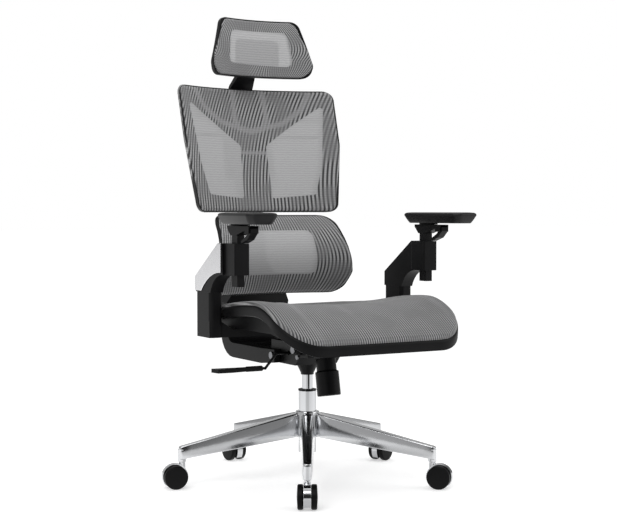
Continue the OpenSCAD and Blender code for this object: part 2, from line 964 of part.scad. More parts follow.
module back_yoke() {
    color("#242424")
        difference() {
            union() {
                for (side = [-1, 1])
                    translate([side * 31, 0, 0])
                        side_slab(-4.6, 4.6) {
                            translate([lumbar_pin_y, lumbar_low + 39])
                                circle(r = 10);
                            translate([lumbar_pin_y, lumbar_low + 29])
                                square([22, 20]);
                        }
                intersection() {
                    side_slab(-120, 120)
                        yoke_outline();
                    front_slab()
                        polygon([
                            [-cheek_out, 290], [cheek_out, 290], [cheek_out, 360], [97, 420], [97, 450],
                            [80, 480], [spine_half_w, 560], [spine_half_w, 905], [-spine_half_w, 905],
                            [-spine_half_w, 560], [-80, 480], [-97, 450], [-97, 420], [-cheek_out, 360]
                        ]);
                }
            }
            x_rod(lumbar_pin_y, lumbar_low + 39, pin_r + run, 100);
            block([-housing_half_w - 1.2, 0, 280], [housing_half_w + 1.2, back_shaft_y + 60, 400]);
            x_rod(back_shaft_y, back_shaft_z, shaft_r + run, 3 * housing_half_w);
            block([-bar_window_w / 2, back_shaft_y + 100, 280], [bar_window_w / 2, back_shaft_y + 190, 380]);
        }
}

module lumbar_pin() {
    color("gray") {
        x_rod(lumbar_pin_y, lumbar_low + 39, pin_r, 72);
        for (side = [-1, 1])
            translate([side * 37, 0, 0])
                x_rod(lumbar_pin_y, lumbar_low + 39, pin_r + 2, 2);
    }
}

// ---------- Back panels ----------
// Radius of the upper back's sheet at height z
function curve_r(z) = panel_r + 0.19 * (z - back_low - 11) + 0.0001 * pow(z - back_low - 11, 2);

// Radius of the lumbar sheet at height z
function lumbar_r(z) = panel_r + 0.0047 * pow(z - lumbar_z, 2);

// Radius of the headrest sheet at height z
function headrest_r(z) = head_r - 1 + 0.0009 * pow(z - head_low - 62, 2);

// Shell turned about a vertical axis at depth axis_y, between two offsets of its profile radii
module turned_band(axis_y, zs, radii, inner, outer, half_angle) {
    last = len(zs) - 1;
    translate([0, axis_y, 0])
        rotate([0, 0, 90 - half_angle])
            rotate_extrude(angle = 2 * half_angle)
                polygon(concat(
                    [for (k = [0 : last]) [radii[k] + inner, zs[k]]],
                    [for (k = [last : -1 : 0]) [radii[k] + outer, zs[k]]]
                ));
}

// The three panels' bands between two offsets behind the sheet's front
module back_band(inner, outer) {
    zs = [for (k = [0 : 8]) back_low - 2 + k * (back_high - back_low + 4) / 8];
    turned_band(back_axis_y, zs, [for (z = zs) curve_r(z)], inner, outer, 50);
}

module lumbar_band(inner, outer) {
    zs = [for (k = [0 : 10]) lumbar_low - 2 + k * (lumbar_high - lumbar_low + 4) / 10];
    turned_band(lumbar_axis_y, zs, [for (z = zs) lumbar_r(z)], inner, outer, 50);
}

module head_band(inner, outer) {
    zs = [for (k = [0 : 8]) head_low - 2 + k * (head_high - head_low + 4) / 8];
    turned_band(head_axis_y, zs, [for (z = zs) headrest_r(z)], inner, outer, 50);
}

// Frontal outline with straight sides and round corners, as a 2D shape shrunk by inset
module panel_outline(low, high, w_low, w_mid, w_high, mid, r, inset) {
    offset(r = r)
        offset(delta = -r - inset)
            polygon([
                [-w_low, low], [w_low, low], [w_mid, mid], [w_high, high],
                [-w_high, high], [-w_mid, mid]
            ]);
}

module back_outline(inset) {
    panel_outline(back_low, back_high, back_half_w - 24, back_half_w, back_half_w + 2,
        back_low + 190, 26, inset);
}

module lumbar_outline(inset) {
    panel_outline(lumbar_low, lumbar_high, lumbar_half_w - 12, lumbar_half_w, lumbar_half_w - 26,
        lumbar_low + 60, 34, inset);
}

module head_outline_front(inset) {
    panel_outline(head_low, head_high, head_half_w - 8, head_half_w, head_top_half_w,
        head_low + 34, 26, inset);
}

// One window of the upper back's second layer, on the +X side
module back_window() {
    offset(r = 12)
        offset(delta = -12)
            polygon([
                [43, back_low + 37], [167, back_low + 48], [195, back_high - 56],
                [120, back_high - 106], [39, back_high - 159]
            ]);
}

module back_mesh() {
    color("gray") {
        intersection() {
            back_band(0, sheet_t);
            front_slab()
                back_outline(0);
        }
        intersection() {
            back_band(sheet_t + frame_d + slip, sheet_t + frame_d + slip + 2);
            front_slab()
                difference() {
                    back_outline(2);
                    for (side = [0, 1])
                        mirror([side, 0])
                            back_window();
                }
        }
    }
}

module back_frame() {
    bar = 9;
    color("#222222")
        intersection() {
            back_band(sheet_t + run, sheet_t + frame_d - run);
            front_slab() {
                difference() {
                    back_outline(1);
                    back_outline(frame_w);
                }
                intersection() {
                    back_outline(2);
                    for (z = [back_low + 206, back_low + 256])
                        translate([-far / 2, z])
                            square([far, bar]);
                }
                translate([-spine_half_w - 4, back_low + 190])
                    square([2 * spine_half_w + 8, 80]);
            }
        }
}

module back_carrier() {
    low = back_low + 92;
    high = back_high - 56;
    d = sheet_t + frame_d + 2 + 2 * slip;
    color("#1e1e1e")
        difference() {
            intersection() {
                back_band(d, d + 40);
                front_slab()
                    polygon([
                        [-70, low], [70, low], [62, high - 40], [46, high], [-46, high], [-62, high - 40]
                    ]);
            }
            side_slab(-spine_half_w - slip, spine_half_w + slip)
                polygon([
                    [spine_y(600) - slip, 600], [spine_y(734) - slip, 734], [spine_y(900) - slip, 900],
                    [spine_y(900) + 18 - slip, 990], [460, 990], [460, 600]
                ]);
            side_slab(-neck_half_w - slip, neck_half_w + slip)
                neck_outline(slip);
        }
}

module lumbar_mesh() {
    color("gray") {
        intersection() {
            lumbar_band(0, sheet_t);
            front_slab()
                lumbar_outline(0);
        }
        intersection() {
            lumbar_band(sheet_t + frame_d + slip, sheet_t + frame_d + slip + 2);
            front_slab()
                difference() {
                    lumbar_outline(2);
                    round_rect([-110, lumbar_low + 58], [110, lumbar_high - 40], 28);
                }
        }
    }
}

module lumbar_frame() {
    color("#222222")
        intersection() {
            lumbar_band(sheet_t + run, sheet_t + frame_d - run);
            front_slab() {
                difference() {
                    lumbar_outline(1);
                    lumbar_outline(frame_w);
                }
                intersection() {
                    lumbar_outline(2);
                    translate([-far / 2, lumbar_low + 26])
                        square([far, 26]);
                }
            }
        }
}

module lumbar_bracket() {
    y_front = lumbar_axis_y + panel_r + 0.0047 * pow(lumbar_low + 39 - lumbar_z, 2) + sheet_t + frame_d + 3;
    color("#1e1e1e")
        difference() {
            union() {
                intersection() {
                    lumbar_band(sheet_t + frame_d + 2 + 2 * slip, sheet_t + frame_d + 14);
                    front_slab()
                        round_rect([-80, lumbar_low + 22], [80, lumbar_low + 56], 8);
                }
                block([-26, y_front + 9, lumbar_low + 28], [26, lumbar_pin_y + 8, lumbar_low + 50]);
            }
            x_rod(lumbar_pin_y, lumbar_low + 39, pin_r + run, 200);
        }
}

// ---------- Headrest ----------
// Outline of the neck from the side, grown by gap
module neck_outline(gap) {
    t = 12;
    y = spine_y(900) + 22;
    polygon([
        [y - gap, 930 - 20 * gap], [y + t + gap, 930 - 20 * gap], [y + t + gap, 1052],
        [head_pin_y + 8, head_pin_z + 10], [head_pin_y - 6, head_pin_z + 10],
        [head_pin_y - 8, head_pin_z - 8], [y - gap, 1044]
    ]);
}

module headrest_neck() {
    color("#1a1a1a")
        difference() {
            intersection() {
                side_slab(-neck_half_w, neck_half_w)
                    neck_outline(0);
                front_slab()
                    polygon([
                        [-neck_half_w, 900], [neck_half_w, 900], [neck_half_w, 1046], [26, 1078],
                        [20, 1100], [20, 1200], [-20, 1200], [-20, 1100], [-26, 1078], [-neck_half_w, 1046]
                    ]);
            }
            x_rod(head_pin_y, head_pin_z, pin_r + run, 200);
        }
}

module headrest_plate() {
    d = sheet_t + frame_d - 6;
    color("#1e1e1e") {
        difference() {
            intersection() {
                head_band(sheet_t + slip, d);
                front_slab()
                    round_rect([-66, head_low + 28], [66, head_low + 103], 14);
            }
            front_slab()
                round_rect([-26, head_low + 35], [26, head_low + 52], 6);
        }
        for (side = [-1, 1])
            translate([side * 24, 0, 0])
                side_slab(-3, 3) {
                    translate([head_pin_y, head_pin_z])
                        circle(r = 9);
                    translate([head_axis_y + head_r + 4, head_pin_z - 9])
                        square([head_pin_y - head_axis_y - head_r - 4, 18]);
                }
        x_rod(head_pin_y, head_pin_z, pin_r, 54);
    }
}

module headrest_frame() {
    color("#1a1a1a")
        intersection() {
            head_band(sheet_t + run, sheet_t + frame_d - run);
            front_slab() {
                difference() {
                    head_outline_front(0);
                    head_outline_front(11);
                }
                intersection() {
                    head_outline_front(1);
                    translate([-far / 2, head_low + 8])
                        square([far, 20]);
                }
            }
        }
}

module headrest_mesh() {
    color("gray")
        intersection() {
            head_band(0, sheet_t);
            front_slab()
                head_outline_front(3);
        }
}

star_base();
gas_tube();
guide_bush();
piston_rod();
thrust_bearing();
retaining_clip();
gas_cylinder();
release_button();
mech_housing();
pivot_shafts();
tension_spring();
mech_bolts();
tension_knob();
lever_rod();
lever_grip();
seat_plate();
arm_foot(1);  // arm_foot_left
arm_foot(-1);  // arm_foot_right
arm_upright(1);  // arm_upright_left
arm_upright(-1);  // arm_upright_right
arm_trim(1);  // arm_trim_left
arm_trim(-1);  // arm_trim_right
bracket_bolts();
seat_frame();
seat_mesh();
seat_pan();
seat_screws();
back_yoke();
lumbar_pin();
lumbar_bracket();
lumbar_frame();
lumbar_mesh();
back_carrier();
back_frame();
back_mesh();
headrest_neck();
headrest_plate();
headrest_frame();
headrest_mesh();
arm_post(1);  // arm_post_left
arm_post(-1);  // arm_post_right
arm_trigger(1);  // arm_trigger_left
arm_trigger(-1);  // arm_trigger_right
pad_swivel(1);  // pad_swivel_left
pad_swivel(-1);  // pad_swivel_right
arm_pad(1);  // arm_pad_left
arm_pad(-1);  // arm_pad_right
caster_body(1);  // caster_body_1
caster_body(2);  // caster_body_2
caster_body(3);  // caster_body_3
caster_body(4);  // caster_body_4
caster_body(5);  // caster_body_5
caster_wheels(1);  // caster_wheels_1
caster_wheels(2);  // caster_wheels_2
caster_wheels(3);  // caster_wheels_3
caster_wheels(4);  // caster_wheels_4
caster_wheels(5);  // caster_wheels_5
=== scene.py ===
"""A high-back mesh chair on a polished five-leg base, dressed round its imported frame."""

import json
import logging
import math
from dataclasses import dataclass, field, replace
from enum import Enum
from functools import partial
from typing import Callable, Optional, Sequence

import bmesh
import bpy
from mathutils import Euler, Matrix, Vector


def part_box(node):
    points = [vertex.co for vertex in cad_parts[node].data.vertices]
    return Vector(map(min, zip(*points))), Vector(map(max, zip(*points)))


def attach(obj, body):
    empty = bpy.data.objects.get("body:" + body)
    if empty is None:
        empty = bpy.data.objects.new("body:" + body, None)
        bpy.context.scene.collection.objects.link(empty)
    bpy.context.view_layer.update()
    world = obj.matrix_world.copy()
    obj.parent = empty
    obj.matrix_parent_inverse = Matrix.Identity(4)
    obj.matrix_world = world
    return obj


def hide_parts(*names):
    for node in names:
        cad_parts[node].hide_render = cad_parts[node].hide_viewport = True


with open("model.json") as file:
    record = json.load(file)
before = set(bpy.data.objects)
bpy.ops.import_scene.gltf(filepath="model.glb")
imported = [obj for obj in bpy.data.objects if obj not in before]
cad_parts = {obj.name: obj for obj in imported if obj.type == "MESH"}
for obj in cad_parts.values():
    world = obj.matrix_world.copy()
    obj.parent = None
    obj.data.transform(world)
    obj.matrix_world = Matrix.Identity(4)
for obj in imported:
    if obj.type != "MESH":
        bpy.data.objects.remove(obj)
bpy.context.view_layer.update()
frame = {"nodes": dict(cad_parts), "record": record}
MM = 0.001
MICRON = 0.000001
LOG = logging.getLogger("mesh_chair")

# A place this far outside every window, in millimetres, is plain banded mesh
NO_WINDOW = 5.0

Point = tuple[float, float]
Nodes, Socket, Material = bpy.types.NodeTree, bpy.types.NodeSocket, bpy.types.Material
Piece, Shape = bpy.types.Object, bmesh.types.BMesh


# --- colours and nodes
def linear(code: str) -> tuple[float, float, float, float]:
    """Turn an sRGB hex colour into linear RGBA.

    Args:
        code: Six hex digits, with or without a leading hash.

    Returns:
        The linear red, green and blue values, with an alpha of 1.
    """
    digits = code.lstrip("#")
    values = [int(digits[i:i + 2], 16) / 255 for i in (0, 2, 4)]
    lin = [v / 12.92 if v <= 0.04045 else ((v + 0.055) / 1.055) ** 2.4 for v in values]
    return (lin[0], lin[1], lin[2], 1.0)


def add_node(tree: Nodes, kind: str, settings: Optional[dict] = None,
             inputs: Optional[dict] = None) -> bpy.types.Node:
    """Add a node, set its properties and fill or link its inputs.

    Args:
        tree: The node tree that gets the node.
        kind: The node's type without its ShaderNode prefix, such as Math.
        settings: Properties of the node by name.
        inputs: Input names or numbers with a value, or an output socket to link.

    Returns:
        The new node.
    """
    node = tree.nodes.new(f"ShaderNode{kind}")
    for name, value in (settings or {}).items():
        setattr(node, name, value)
    for key, value in (inputs or {}).items():
        socket = node.inputs[key]
        if isinstance(value, Socket):
            tree.links.new(value, socket)
        else:
            socket.default_value = value
    return node


def span(end: str, values: Sequence[float]) -> dict[str, float]:
    """Give the least and greatest value of one end, From or To, of a Map Range node as its inputs."""
    return {f"{end} Min": values[0], f"{end} Max": values[1]}


def new_material(name: str) -> tuple[Material, Nodes, bpy.types.Node]:
    """Make an empty material with a Principled shader.

    Args:
        name: The material's name.

    Returns:
        The material, its node tree and its shader node.
    """
    material = bpy.data.materials.new(name)
    material.use_nodes = True
    tree = material.node_tree
    tree.nodes.clear()
    shader = add_node(tree, "BsdfPrincipled")
    add_node(tree, "OutputMaterial", inputs={"Surface": shader.outputs[0]})
    return material, tree, shader


@dataclass(frozen=True)
class MetalFinish:
    """A bare or plated metal: a mirror-like tint with fine polishing marks in its roughness."""
    name: str
    colour: str
    roughness: float
    mark_mm: float
    bump_um: float
    bump_strength: float = 0.6
    # Least and greatest roughness, as shares of the finish's own
    rough_span: Point = (0.75, 1.3)

    def material(self) -> Material:
        """Build the finish's material."""
        material, tree, shader = new_material(self.name)
        node = partial(add_node, tree)
        shader.inputs["Base Color"].default_value = linear(self.colour)
        shader.inputs["Metallic"].default_value = 1.0
        place = node("TexCoord")
        marks = node("TexNoise", inputs={
            "Vector": place.outputs["Object"], "Scale": 1 / (self.mark_mm * MM), "Detail": 3.0})
        rough = node("MapRange", inputs={
            "Value": marks.outputs["Fac"], "To Min": self.roughness * self.rough_span[0],
            "To Max": self.roughness * self.rough_span[1]})
        tree.links.new(rough.outputs[0], shader.inputs["Roughness"])
        bump = node("Bump", inputs={
            "Height": marks.outputs["Fac"], "Distance": self.bump_um * MICRON,
            "Strength": self.bump_strength})
        tree.links.new(bump.outputs[0], shader.inputs["Normal"])
        return material


@dataclass(frozen=True)
class MouldedFinish:
    """A moulded or powder-coated dark surface: fine grain, with lighter rubbed patches."""
    name: str
    colour: str
    worn: str
    roughness: float
    grain_mm: float
    grain_depth_mm: float
    specular: float
    ior: float = 1.5
    grain_strength: float = 0.5
    # Rubbed patches: how many a metre, the noise levels they fade between, and how far roughness strays
    patches: float = 14.0
    patch_span: Point = (0.35, 0.75)
    rough_stray: float = 0.06

    def material(self) -> Material:
        """Build the finish's material."""
        material, tree, shader = new_material(self.name)
        node = partial(add_node, tree)
        shader.inputs["IOR"].default_value = self.ior
        shader.inputs["Specular IOR Level"].default_value = self.specular
        place = node("TexCoord")
        grain = node("TexVoronoi", inputs={
            "Vector": place.outputs["Object"], "Scale": 1 / (self.grain_mm * MM)})
        patch = node("TexNoise", inputs={
            "Vector": place.outputs["Object"], "Scale": self.patches, "Detail": 4.0})
        amount = node("MapRange", inputs={
            "Value": patch.outputs["Fac"], **span("From", self.patch_span)})
        tint = node("Mix", {"data_type": "RGBA"}, {
            "Factor": amount.outputs[0], 6: linear(self.colour), 7: linear(self.worn)})
        tree.links.new(tint.outputs[2], shader.inputs["Base Color"])
        rough = node("MapRange", inputs={
            "Value": patch.outputs["Fac"], "To Min": self.roughness - self.rough_stray,
            "To Max": self.roughness + self.rough_stray})
        tree.links.new(rough.outputs[0], shader.inputs["Roughness"])
        bump = node("Bump", inputs={
            "Height": grain.outputs["Distance"], "Distance": self.grain_depth_mm * MM,
            "Strength": self.grain_strength})
        tree.links.new(bump.outputs[0], shader.inputs["Normal"])
        return material


@dataclass(frozen=True)
class MeshWeave:
    """Stretched elastic mesh: fine cells, light and dark bands where two layers lie close, paler windows.

    The bands and the windows follow the piece's own attributes, so they stay on the cloth.
    """
    name: str
    pale: str
    light: str
    dark: str
    cell_mm: float
    band_sharp: float
    pale_cover: float
    full_cover: float
    cut_windows: bool = False
    roughness: float = 0.8
    sheen: float = 0.25
    sheen_roughness: float = 0.5
    ior: float = 1.45
    # A window's edge fades over twice this width
    edge_mm: float = 1.4
    # Level of the bands where a rib touches the mesh, and where they fade out
    calm_level: float = 0.72
    faded_level: float = 0.42
    # Where the bands fade: noise scale per millimetre, the noise levels, and the least strength
    fade_scale: float = 0.016
    fade_span: Point = (0.35, 0.58)
    fade_least: float = 0.25
    # Brightness across a cell and across a thread, the threads' spacing, and the cells' depth
    cell_random: float = 0.25
    cell_span: Point = (0.82, 1.12)
    cell_reach: float = 0.7
    thread_span: Point = (0.88, 1.06)
    thread_mm: float = 6.5
    thread_drift: float = 2.5
    depth_mm: float = 0.3
    bump_strength: float = 0.5

    def material(self) -> Material:
        """Build the weave's material."""
        material, tree, shader = new_material(self.name)
        node = partial(add_node, tree)
        for socket, value in (("Roughness", self.roughness), ("Sheen Weight", self.sheen),
                              ("Sheen Roughness", self.sheen_roughness), ("IOR", self.ior)):
            shader.inputs[socket].default_value = value
        zone = node("Attribute", {"attribute_name": "zone_mm"})
        band = node("Attribute", {"attribute_name": "band"})
        place = node("UVMap", {"uv_map": "cloth_mm"})
        inside = node("MapRange", {"interpolation_type": "SMOOTHSTEP"}, {
            "Value": zone.outputs["Fac"], "From Min": -self.edge_mm, "From Max": self.edge_mm})
        turn = node("Math", {"operation": "MULTIPLY"}, {
            0: band.outputs["Fac"], 1: 2 * math.pi})
        wave = node("Math", {"operation": "SINE"}, {0: turn.outputs[0]})
        sharp = node("MapRange", {"interpolation_type": "SMOOTHSTEP"}, {
            "Value": wave.outputs[0], "From Min": -self.band_sharp, "From Max": self.band_sharp})
        fade = node("TexNoise", inputs={
            "Vector": place.outputs[0], "Scale": self.fade_scale, "Detail": 1.0})
        fade_map = node("MapRange", inputs={
            "Value": fade.outputs["Fac"], **span("From", self.fade_span),
            "To Min": self.fade_least, "To Max": 1.0})
        uneven = node("Mix", {"data_type": "FLOAT"}, {
            "Factor": fade_map.outputs[0], 2: self.faded_level, 3: sharp.outputs[0]})
        calm = node("Attribute", {"attribute_name": "calm"})
        level = node("Mix", {"data_type": "FLOAT"}, {
            "Factor": calm.outputs["Fac"], 2: uneven.outputs[0], 3: self.calm_level})
        banded = node("Mix", {"data_type": "RGBA"}, {
            "Factor": level.outputs[0], 6: linear(self.dark), 7: linear(self.light)})
        cells = node("TexVoronoi", {"distance": "EUCLIDEAN"}, {
            "Vector": place.outputs[0], "Scale": 1 / self.cell_mm, "Randomness": self.cell_random})
        shade = node("MapRange", inputs={
            "Value": cells.outputs["Distance"], "From Max": self.cell_reach,
            **span("To", self.cell_span)})
        threads = node("TexWave", {"bands_direction": "Y"}, {
            "Vector": place.outputs[0], "Scale": math.pi / 10 / self.thread_mm,
            "Distortion": self.thread_drift, "Detail": 2.0, "Detail Scale": 2.0})
        lines = node("MapRange", inputs={
            "Value": threads.outputs["Fac"], **span("To", self.thread_span)})
        shade = node("Math", {"operation": "MULTIPLY"}, {
            0: shade.outputs[0], 1: lines.outputs[0]})
        mixed = node("Mix", {"data_type": "RGBA"}, {
            "Factor": inside.outputs[0], 6: linear(self.pale), 7: banded.outputs[2]})
        colour = node("Mix", {"data_type": "RGBA", "blend_type": "MULTIPLY"}, {
            "Factor": 1.0, 6: mixed.outputs[2], 7: shade.outputs[0]})
        tree.links.new(colour.outputs[2], shader.inputs["Base Color"])
        cover = node("Mix", {"data_type": "FLOAT"}, {
            "Factor": inside.outputs[0], 2: 0.0 if self.cut_windows else self.pale_cover, 3: self.full_cover})
        tree.links.new(cover.outputs[0], shader.inputs["Alpha"])
        bump = node("Bump", inputs={
            "Height": cells.outputs["Distance"], "Distance": self.depth_mm * MM,
            "Strength": self.bump_strength})
        tree.links.new(bump.outputs[0], shader.inputs["Normal"])
        return material


class Slot(Enum):
    """The record's material slots, each with the finish it gets."""
    # Cast aluminium, machine polished: near-white reflections with soft streaks
    POLISHED_ALUMINIUM = MetalFinish("polished_aluminium", "#CFD0D2", 0.13, 6.0, 2.0)
    # Decorative chromium on steel: a sharp dark-and-bright mirror
    CHROME = MetalFinish("chrome_plate", "#CDCED0", 0.07, 9.0, 1.0)
    # Zinc-plated fasteners and shafts: a soft grey mirror
    STEEL = MetalFinish("zinc_plated_steel", "#8A8B8E", 0.3, 1.5, 6.0)
    # Oiled spring wire: dark, still glossy
    SPRING_STEEL = MetalFinish("oiled_spring_wire", "#6C6D70", 0.32, 1.0, 6.0)
    # Glass-filled nylon, moulded with a fine spark texture: black with a grey bloom
    BLACK_NYLON = MouldedFinish("moulded_nylon", "#0B0B0C", "#111112", 0.38, 0.9, 0.03, 0.13)
    # Powder coat on pressed steel: a slightly glossier black with orange peel
    PAINTED_STEEL = MouldedFinish("powder_coat", "#0B0B0C", "#101011", 0.34, 1.6, 0.02, 0.14)
    # Chromed ABS trim: bright and slightly soft
    SILVER_TRIM = MetalFinish("chromed_abs_trim", "#E6E6E8", 0.2, 12.0, 2.0)
    # Soft-touch polyurethane: black, almost matt, pebbled
    SOFT_PAD = MouldedFinish("polyurethane_pad", "#0E0E0F", "#141415", 0.42, 1.1, 0.05, 0.26)
    # Moulded polyurethane wheels: black with a low satin sheen
    WHEEL_TREAD = MouldedFinish("polyurethane_wheel", "#0A0A0B", "#101011", 0.4, 0.8, 0.02, 0.12)
    # Elastic polyester mesh over a second darker layer
    MESH_FABRIC = MeshWeave("elastic_mesh", "#B4B4B5", "#A6A6A7", "#363637", 2.4, 0.75, 0.82, 0.97)


BACK_LAYER = MeshWeave("elastic_mesh_rear_layer", "#9A9A9B", "#77777A", "#4A4A4B", 2.4, 1.0, 0.6, 0.9,
                       cut_windows=True)
# The seat's cells are closer together, so its bands are finer and lower in contrast
SEAT_WEAVE = MeshWeave("elastic_mesh_seat", "#A0A0A1", "#959596", "#2C2C2D", 2.0, 0.9, 0.97, 0.985)
# One layer over the headrest's window, thin enough to show the plate behind it
HEADREST_WEAVE = replace(Slot.MESH_FABRIC.value, name="elastic_mesh_headrest", pale_cover=0.72)


class Workshop:
    """Holds each built finish, so that every piece of a kind shares one material."""

    def __init__(self) -> None:
        """Start with no finish built."""
        self.made: dict[str, Material] = {}

    def material(self, finish: object) -> Material:
        """Give a finish's shared material, built on first use."""
        if finish.name not in self.made:
            self.made[finish.name] = finish.material()
        return self.made[finish.name]

    def dress(self, piece: Piece, slot: Slot, body: str, finish: Optional[object] = None) -> None:
        """Give a new piece its finish, from its slot unless another is given, and its body.

        Args:
            piece: The object.
            slot: The record's slot that it belongs to.
            body: The CAD body that it rides on.
            finish: A finish other than the slot's own.
        """
        piece.data.materials.clear()
        piece.data.materials.append(self.material(finish or slot.value))
        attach(piece, body)
        LOG.info("%s rides on %s, %d faces", piece.name, body, len(piece.data.polygons))


SHOP = Workshop()
SLOT_OF = {row["node"]: Slot[row["material_slot"].upper()] for row in frame["record"]["subparts"]}
BODY_OF = {node: body for body, nodes in frame["record"]["behaviour"]["bodies"].items() for node in nodes}


def finished(name: str, mesh: Shape, sharp_deg: float = 180.0) -> Piece:
    """Turn a bmesh into an object at the origin.

    Args:
        name: The piece's name.
        mesh: The shape, which is freed.
        sharp_deg: Edges that turn more than this stay crisp.

    Returns:
        The object, linked to the scene.
    """
    data = bpy.data.meshes.new(name)
    mesh.to_mesh(data)
    mesh.free()
    data.shade_smooth()
    data.set_sharp_from_angle(angle=math.radians(sharp_deg))
    piece = bpy.data.objects.new(name, data)
    bpy.context.scene.collection.objects.link(piece)
    return piece


def swap_in(piece: Piece, node: str, slot: Optional[Slot] = None, finish: Optional[object] = None) -> None:
    """Dress a piece in the finish given, or in that of its node's slot or the slot given, and let it stand
    for the node.
    """
    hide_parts(node)
    SHOP.dress(piece, slot or SLOT_OF[node], BODY_OF[node], finish)


# --- hard pieces
@dataclass
class HardPiece:
    """A rigid piece: the CAD node's own shape with its moulded or machined edges rounded."""
    node: str
    edge_mm: float = 1.2
    sharp_deg: float = 28.0
    segments: int = 3

    def build(self) -> Piece:
        """Copy the node's mesh, join its loose triangles and round its sharp edges.

        Returns:
            The piece, which replaces its node.
        """
        source = frame["nodes"][self.node]
        shape = bmesh.new()
        shape.from_mesh(source.data)
        bmesh.ops.remove_doubles(shape, verts=shape.verts, dist=0.00002)
        bmesh.ops.dissolve_limit(
            shape, angle_limit=math.radians(1.0), verts=shape.verts, edges=shape.edges)
        piece = finished(f"{self.node}_shell", shape, self.sharp_deg)
        bevel = piece.modifiers.new("rounded_edges", "BEVEL")
        bevel.width = self.edge_mm * MM
        bevel.segments = self.segments
        bevel.limit_method = "ANGLE"
        bevel.angle_limit = math.radians(self.sharp_deg)
        bevel.use_clamp_overlap = True
        weighted = piece.modifiers.new("flat_faces_stay_flat", "WEIGHTED_NORMAL")
        weighted.keep_sharp = True
        return piece

    def dress(self) -> None:
        """Build the piece, give it its node's finish and body, and hide the node."""
        swap_in(self.build(), self.node)


@dataclass
class StarBase:
    """The five-leg base: lofted legs with crisp rounded edges round a turned hub. Sizes in millimetres."""
    legs: int = 5
    first_deg: float = -30.0
    hub_r: float = 31.0
    bore_r: float = 23.2
    hub_low: float = 114.0
    hub_high: float = 182.0
    root_r: float = 24.5
    tip_r: float = 342.0
    root_z: Point = (118.0, 178.0)
    tip_z: Point = (73.0, 105.0)
    root_w: Point = (42.0, 31.0)
    tip_w: Point = (24.0, 20.0)
    stem_r: float = 333.0
    boss_r: float = 10.8
    boss_low: float = 67.0
    boss_sunk: float = 6.0
    boss_wall: float = 4.4
    hub_ease: float = 2.5
    turn_steps: int = 64
    # The leg: its loft's steps and taper, how far its root is drawn in, and its rounded edges
    cuts: int = 11
    taper: float = 1.15
    root_pinch: float = 12.0
    tip_round: float = 8.0
    edge_round: float = 2.4
    sharp_deg: float = 32.0

    def leg(self) -> Shape:
        """Loft one leg along -Y from a subdivided block, and round its edges.

        Returns:
            The leg's shape.
        """
        shape = bmesh.new()
        bmesh.ops.create_cube(shape, size=1.0)
        long_edges = [e for e in shape.edges if abs(e.verts[0].co.y - e.verts[1].co.y) > 0.5]
        bmesh.ops.subdivide_edges(shape, edges=long_edges, cuts=self.cuts, use_grid_fill=True)
        for vert in shape.verts:
            along, high = 0.5 - vert.co.y, vert.co.z > 0
            t = along ** self.taper
            radius = self.root_r + (self.tip_r - self.root_r) * t
            wide = self.root_w[high] + (self.tip_w[high] - self.root_w[high]) * t
            wide -= self.root_pinch if along < 0.01 else 0.0
            tall = self.root_z[high] + (self.tip_z[high] - self.root_z[high]) * t
            vert.co = Vector((wide * (0.5 if vert.co.x > 0 else -0.5), -radius, tall))
        tip = [e for e in shape.edges if all(v.co.y < -self.tip_r + 0.1 for v in e.verts)
               and abs(e.verts[0].co.z - e.verts[1].co.z) > 5]
        bmesh.ops.bevel(shape, geom=tip, offset=self.tip_round, segments=5, profile=0.5, affect="EDGES",
                        material=-1)
        bmesh.ops.recalc_face_normals(shape, faces=shape.faces)
        crisp = [e for e in shape.edges if e.calc_face_angle(0.0) > math.radians(50)]
        bmesh.ops.bevel(shape, geom=crisp, offset=self.edge_round, segments=3, profile=0.5, affect="EDGES",
                        material=-1)
        return shape

    def turned(self, shape: Shape, profile: Sequence[Point], centre: Point) -> None:
        """Turn a closed profile about a vertical axis.

        Args:
            shape: The shape that the new part is added to.
            profile: Radius and height pairs.
            centre: The axis's place.
        """
        points = [shape.verts.new((centre[0] + r, centre[1], z)) for r, z in profile]
        edges = [shape.edges.new((a, b)) for a, b in zip(points, [*points[1:], points[0]])]
        bmesh.ops.spin(shape, geom=[*points, *edges], cent=(*centre, 0), axis=(0, 0, 1),
                       angle=2 * math.pi, steps=self.turn_steps, use_merge=True)

    def build(self) -> Piece:
        """Join the hub, the legs and the stem bosses.

        Returns:
            The base as one object.
        """
        whole = bmesh.new()
        low, high, ease = self.hub_low, self.hub_high, self.hub_ease
        self.turned(whole, [(self.bore_r, low), (self.hub_r - ease, low), (self.hub_r, low + ease),
                            (self.hub_r, high - ease), (self.hub_r - 0.8, high - 0.8),
                            (self.hub_r - ease, high), (self.bore_r, high)], (0.0, 0.0))
        for number in range(self.legs):
            turn = math.radians(self.first_deg + 360 / self.legs * number)
            part = self.leg()
            reach, bore, tall = self.boss_r, self.boss_r - self.boss_wall, self.tip_z[1] - self.boss_sunk
            self.turned(part, [(bore, self.boss_low), (reach - 1, self.boss_low),
                               (reach, self.boss_low + 1), (reach, tall), (bore, tall)],
                        (0.0, -self.stem_r))
            bmesh.ops.rotate(part, cent=(0, 0, 0), verts=part.verts,
                             matrix=Euler((0, 0, turn)).to_matrix())
            step = bpy.data.meshes.new("leg_step")
            part.to_mesh(step)
            part.free()
            whole.from_mesh(step)
            bpy.data.meshes.remove(step)
        bmesh.ops.recalc_face_normals(whole, faces=whole.faces)
        bmesh.ops.scale(whole, vec=(MM, MM, MM), verts=whole.verts)
        return finished("star_base_casting", whole, self.sharp_deg)

    def dress(self) -> None:
        """Build the base and hide its CAD node."""
        swap_in(self.build(), "star_base")


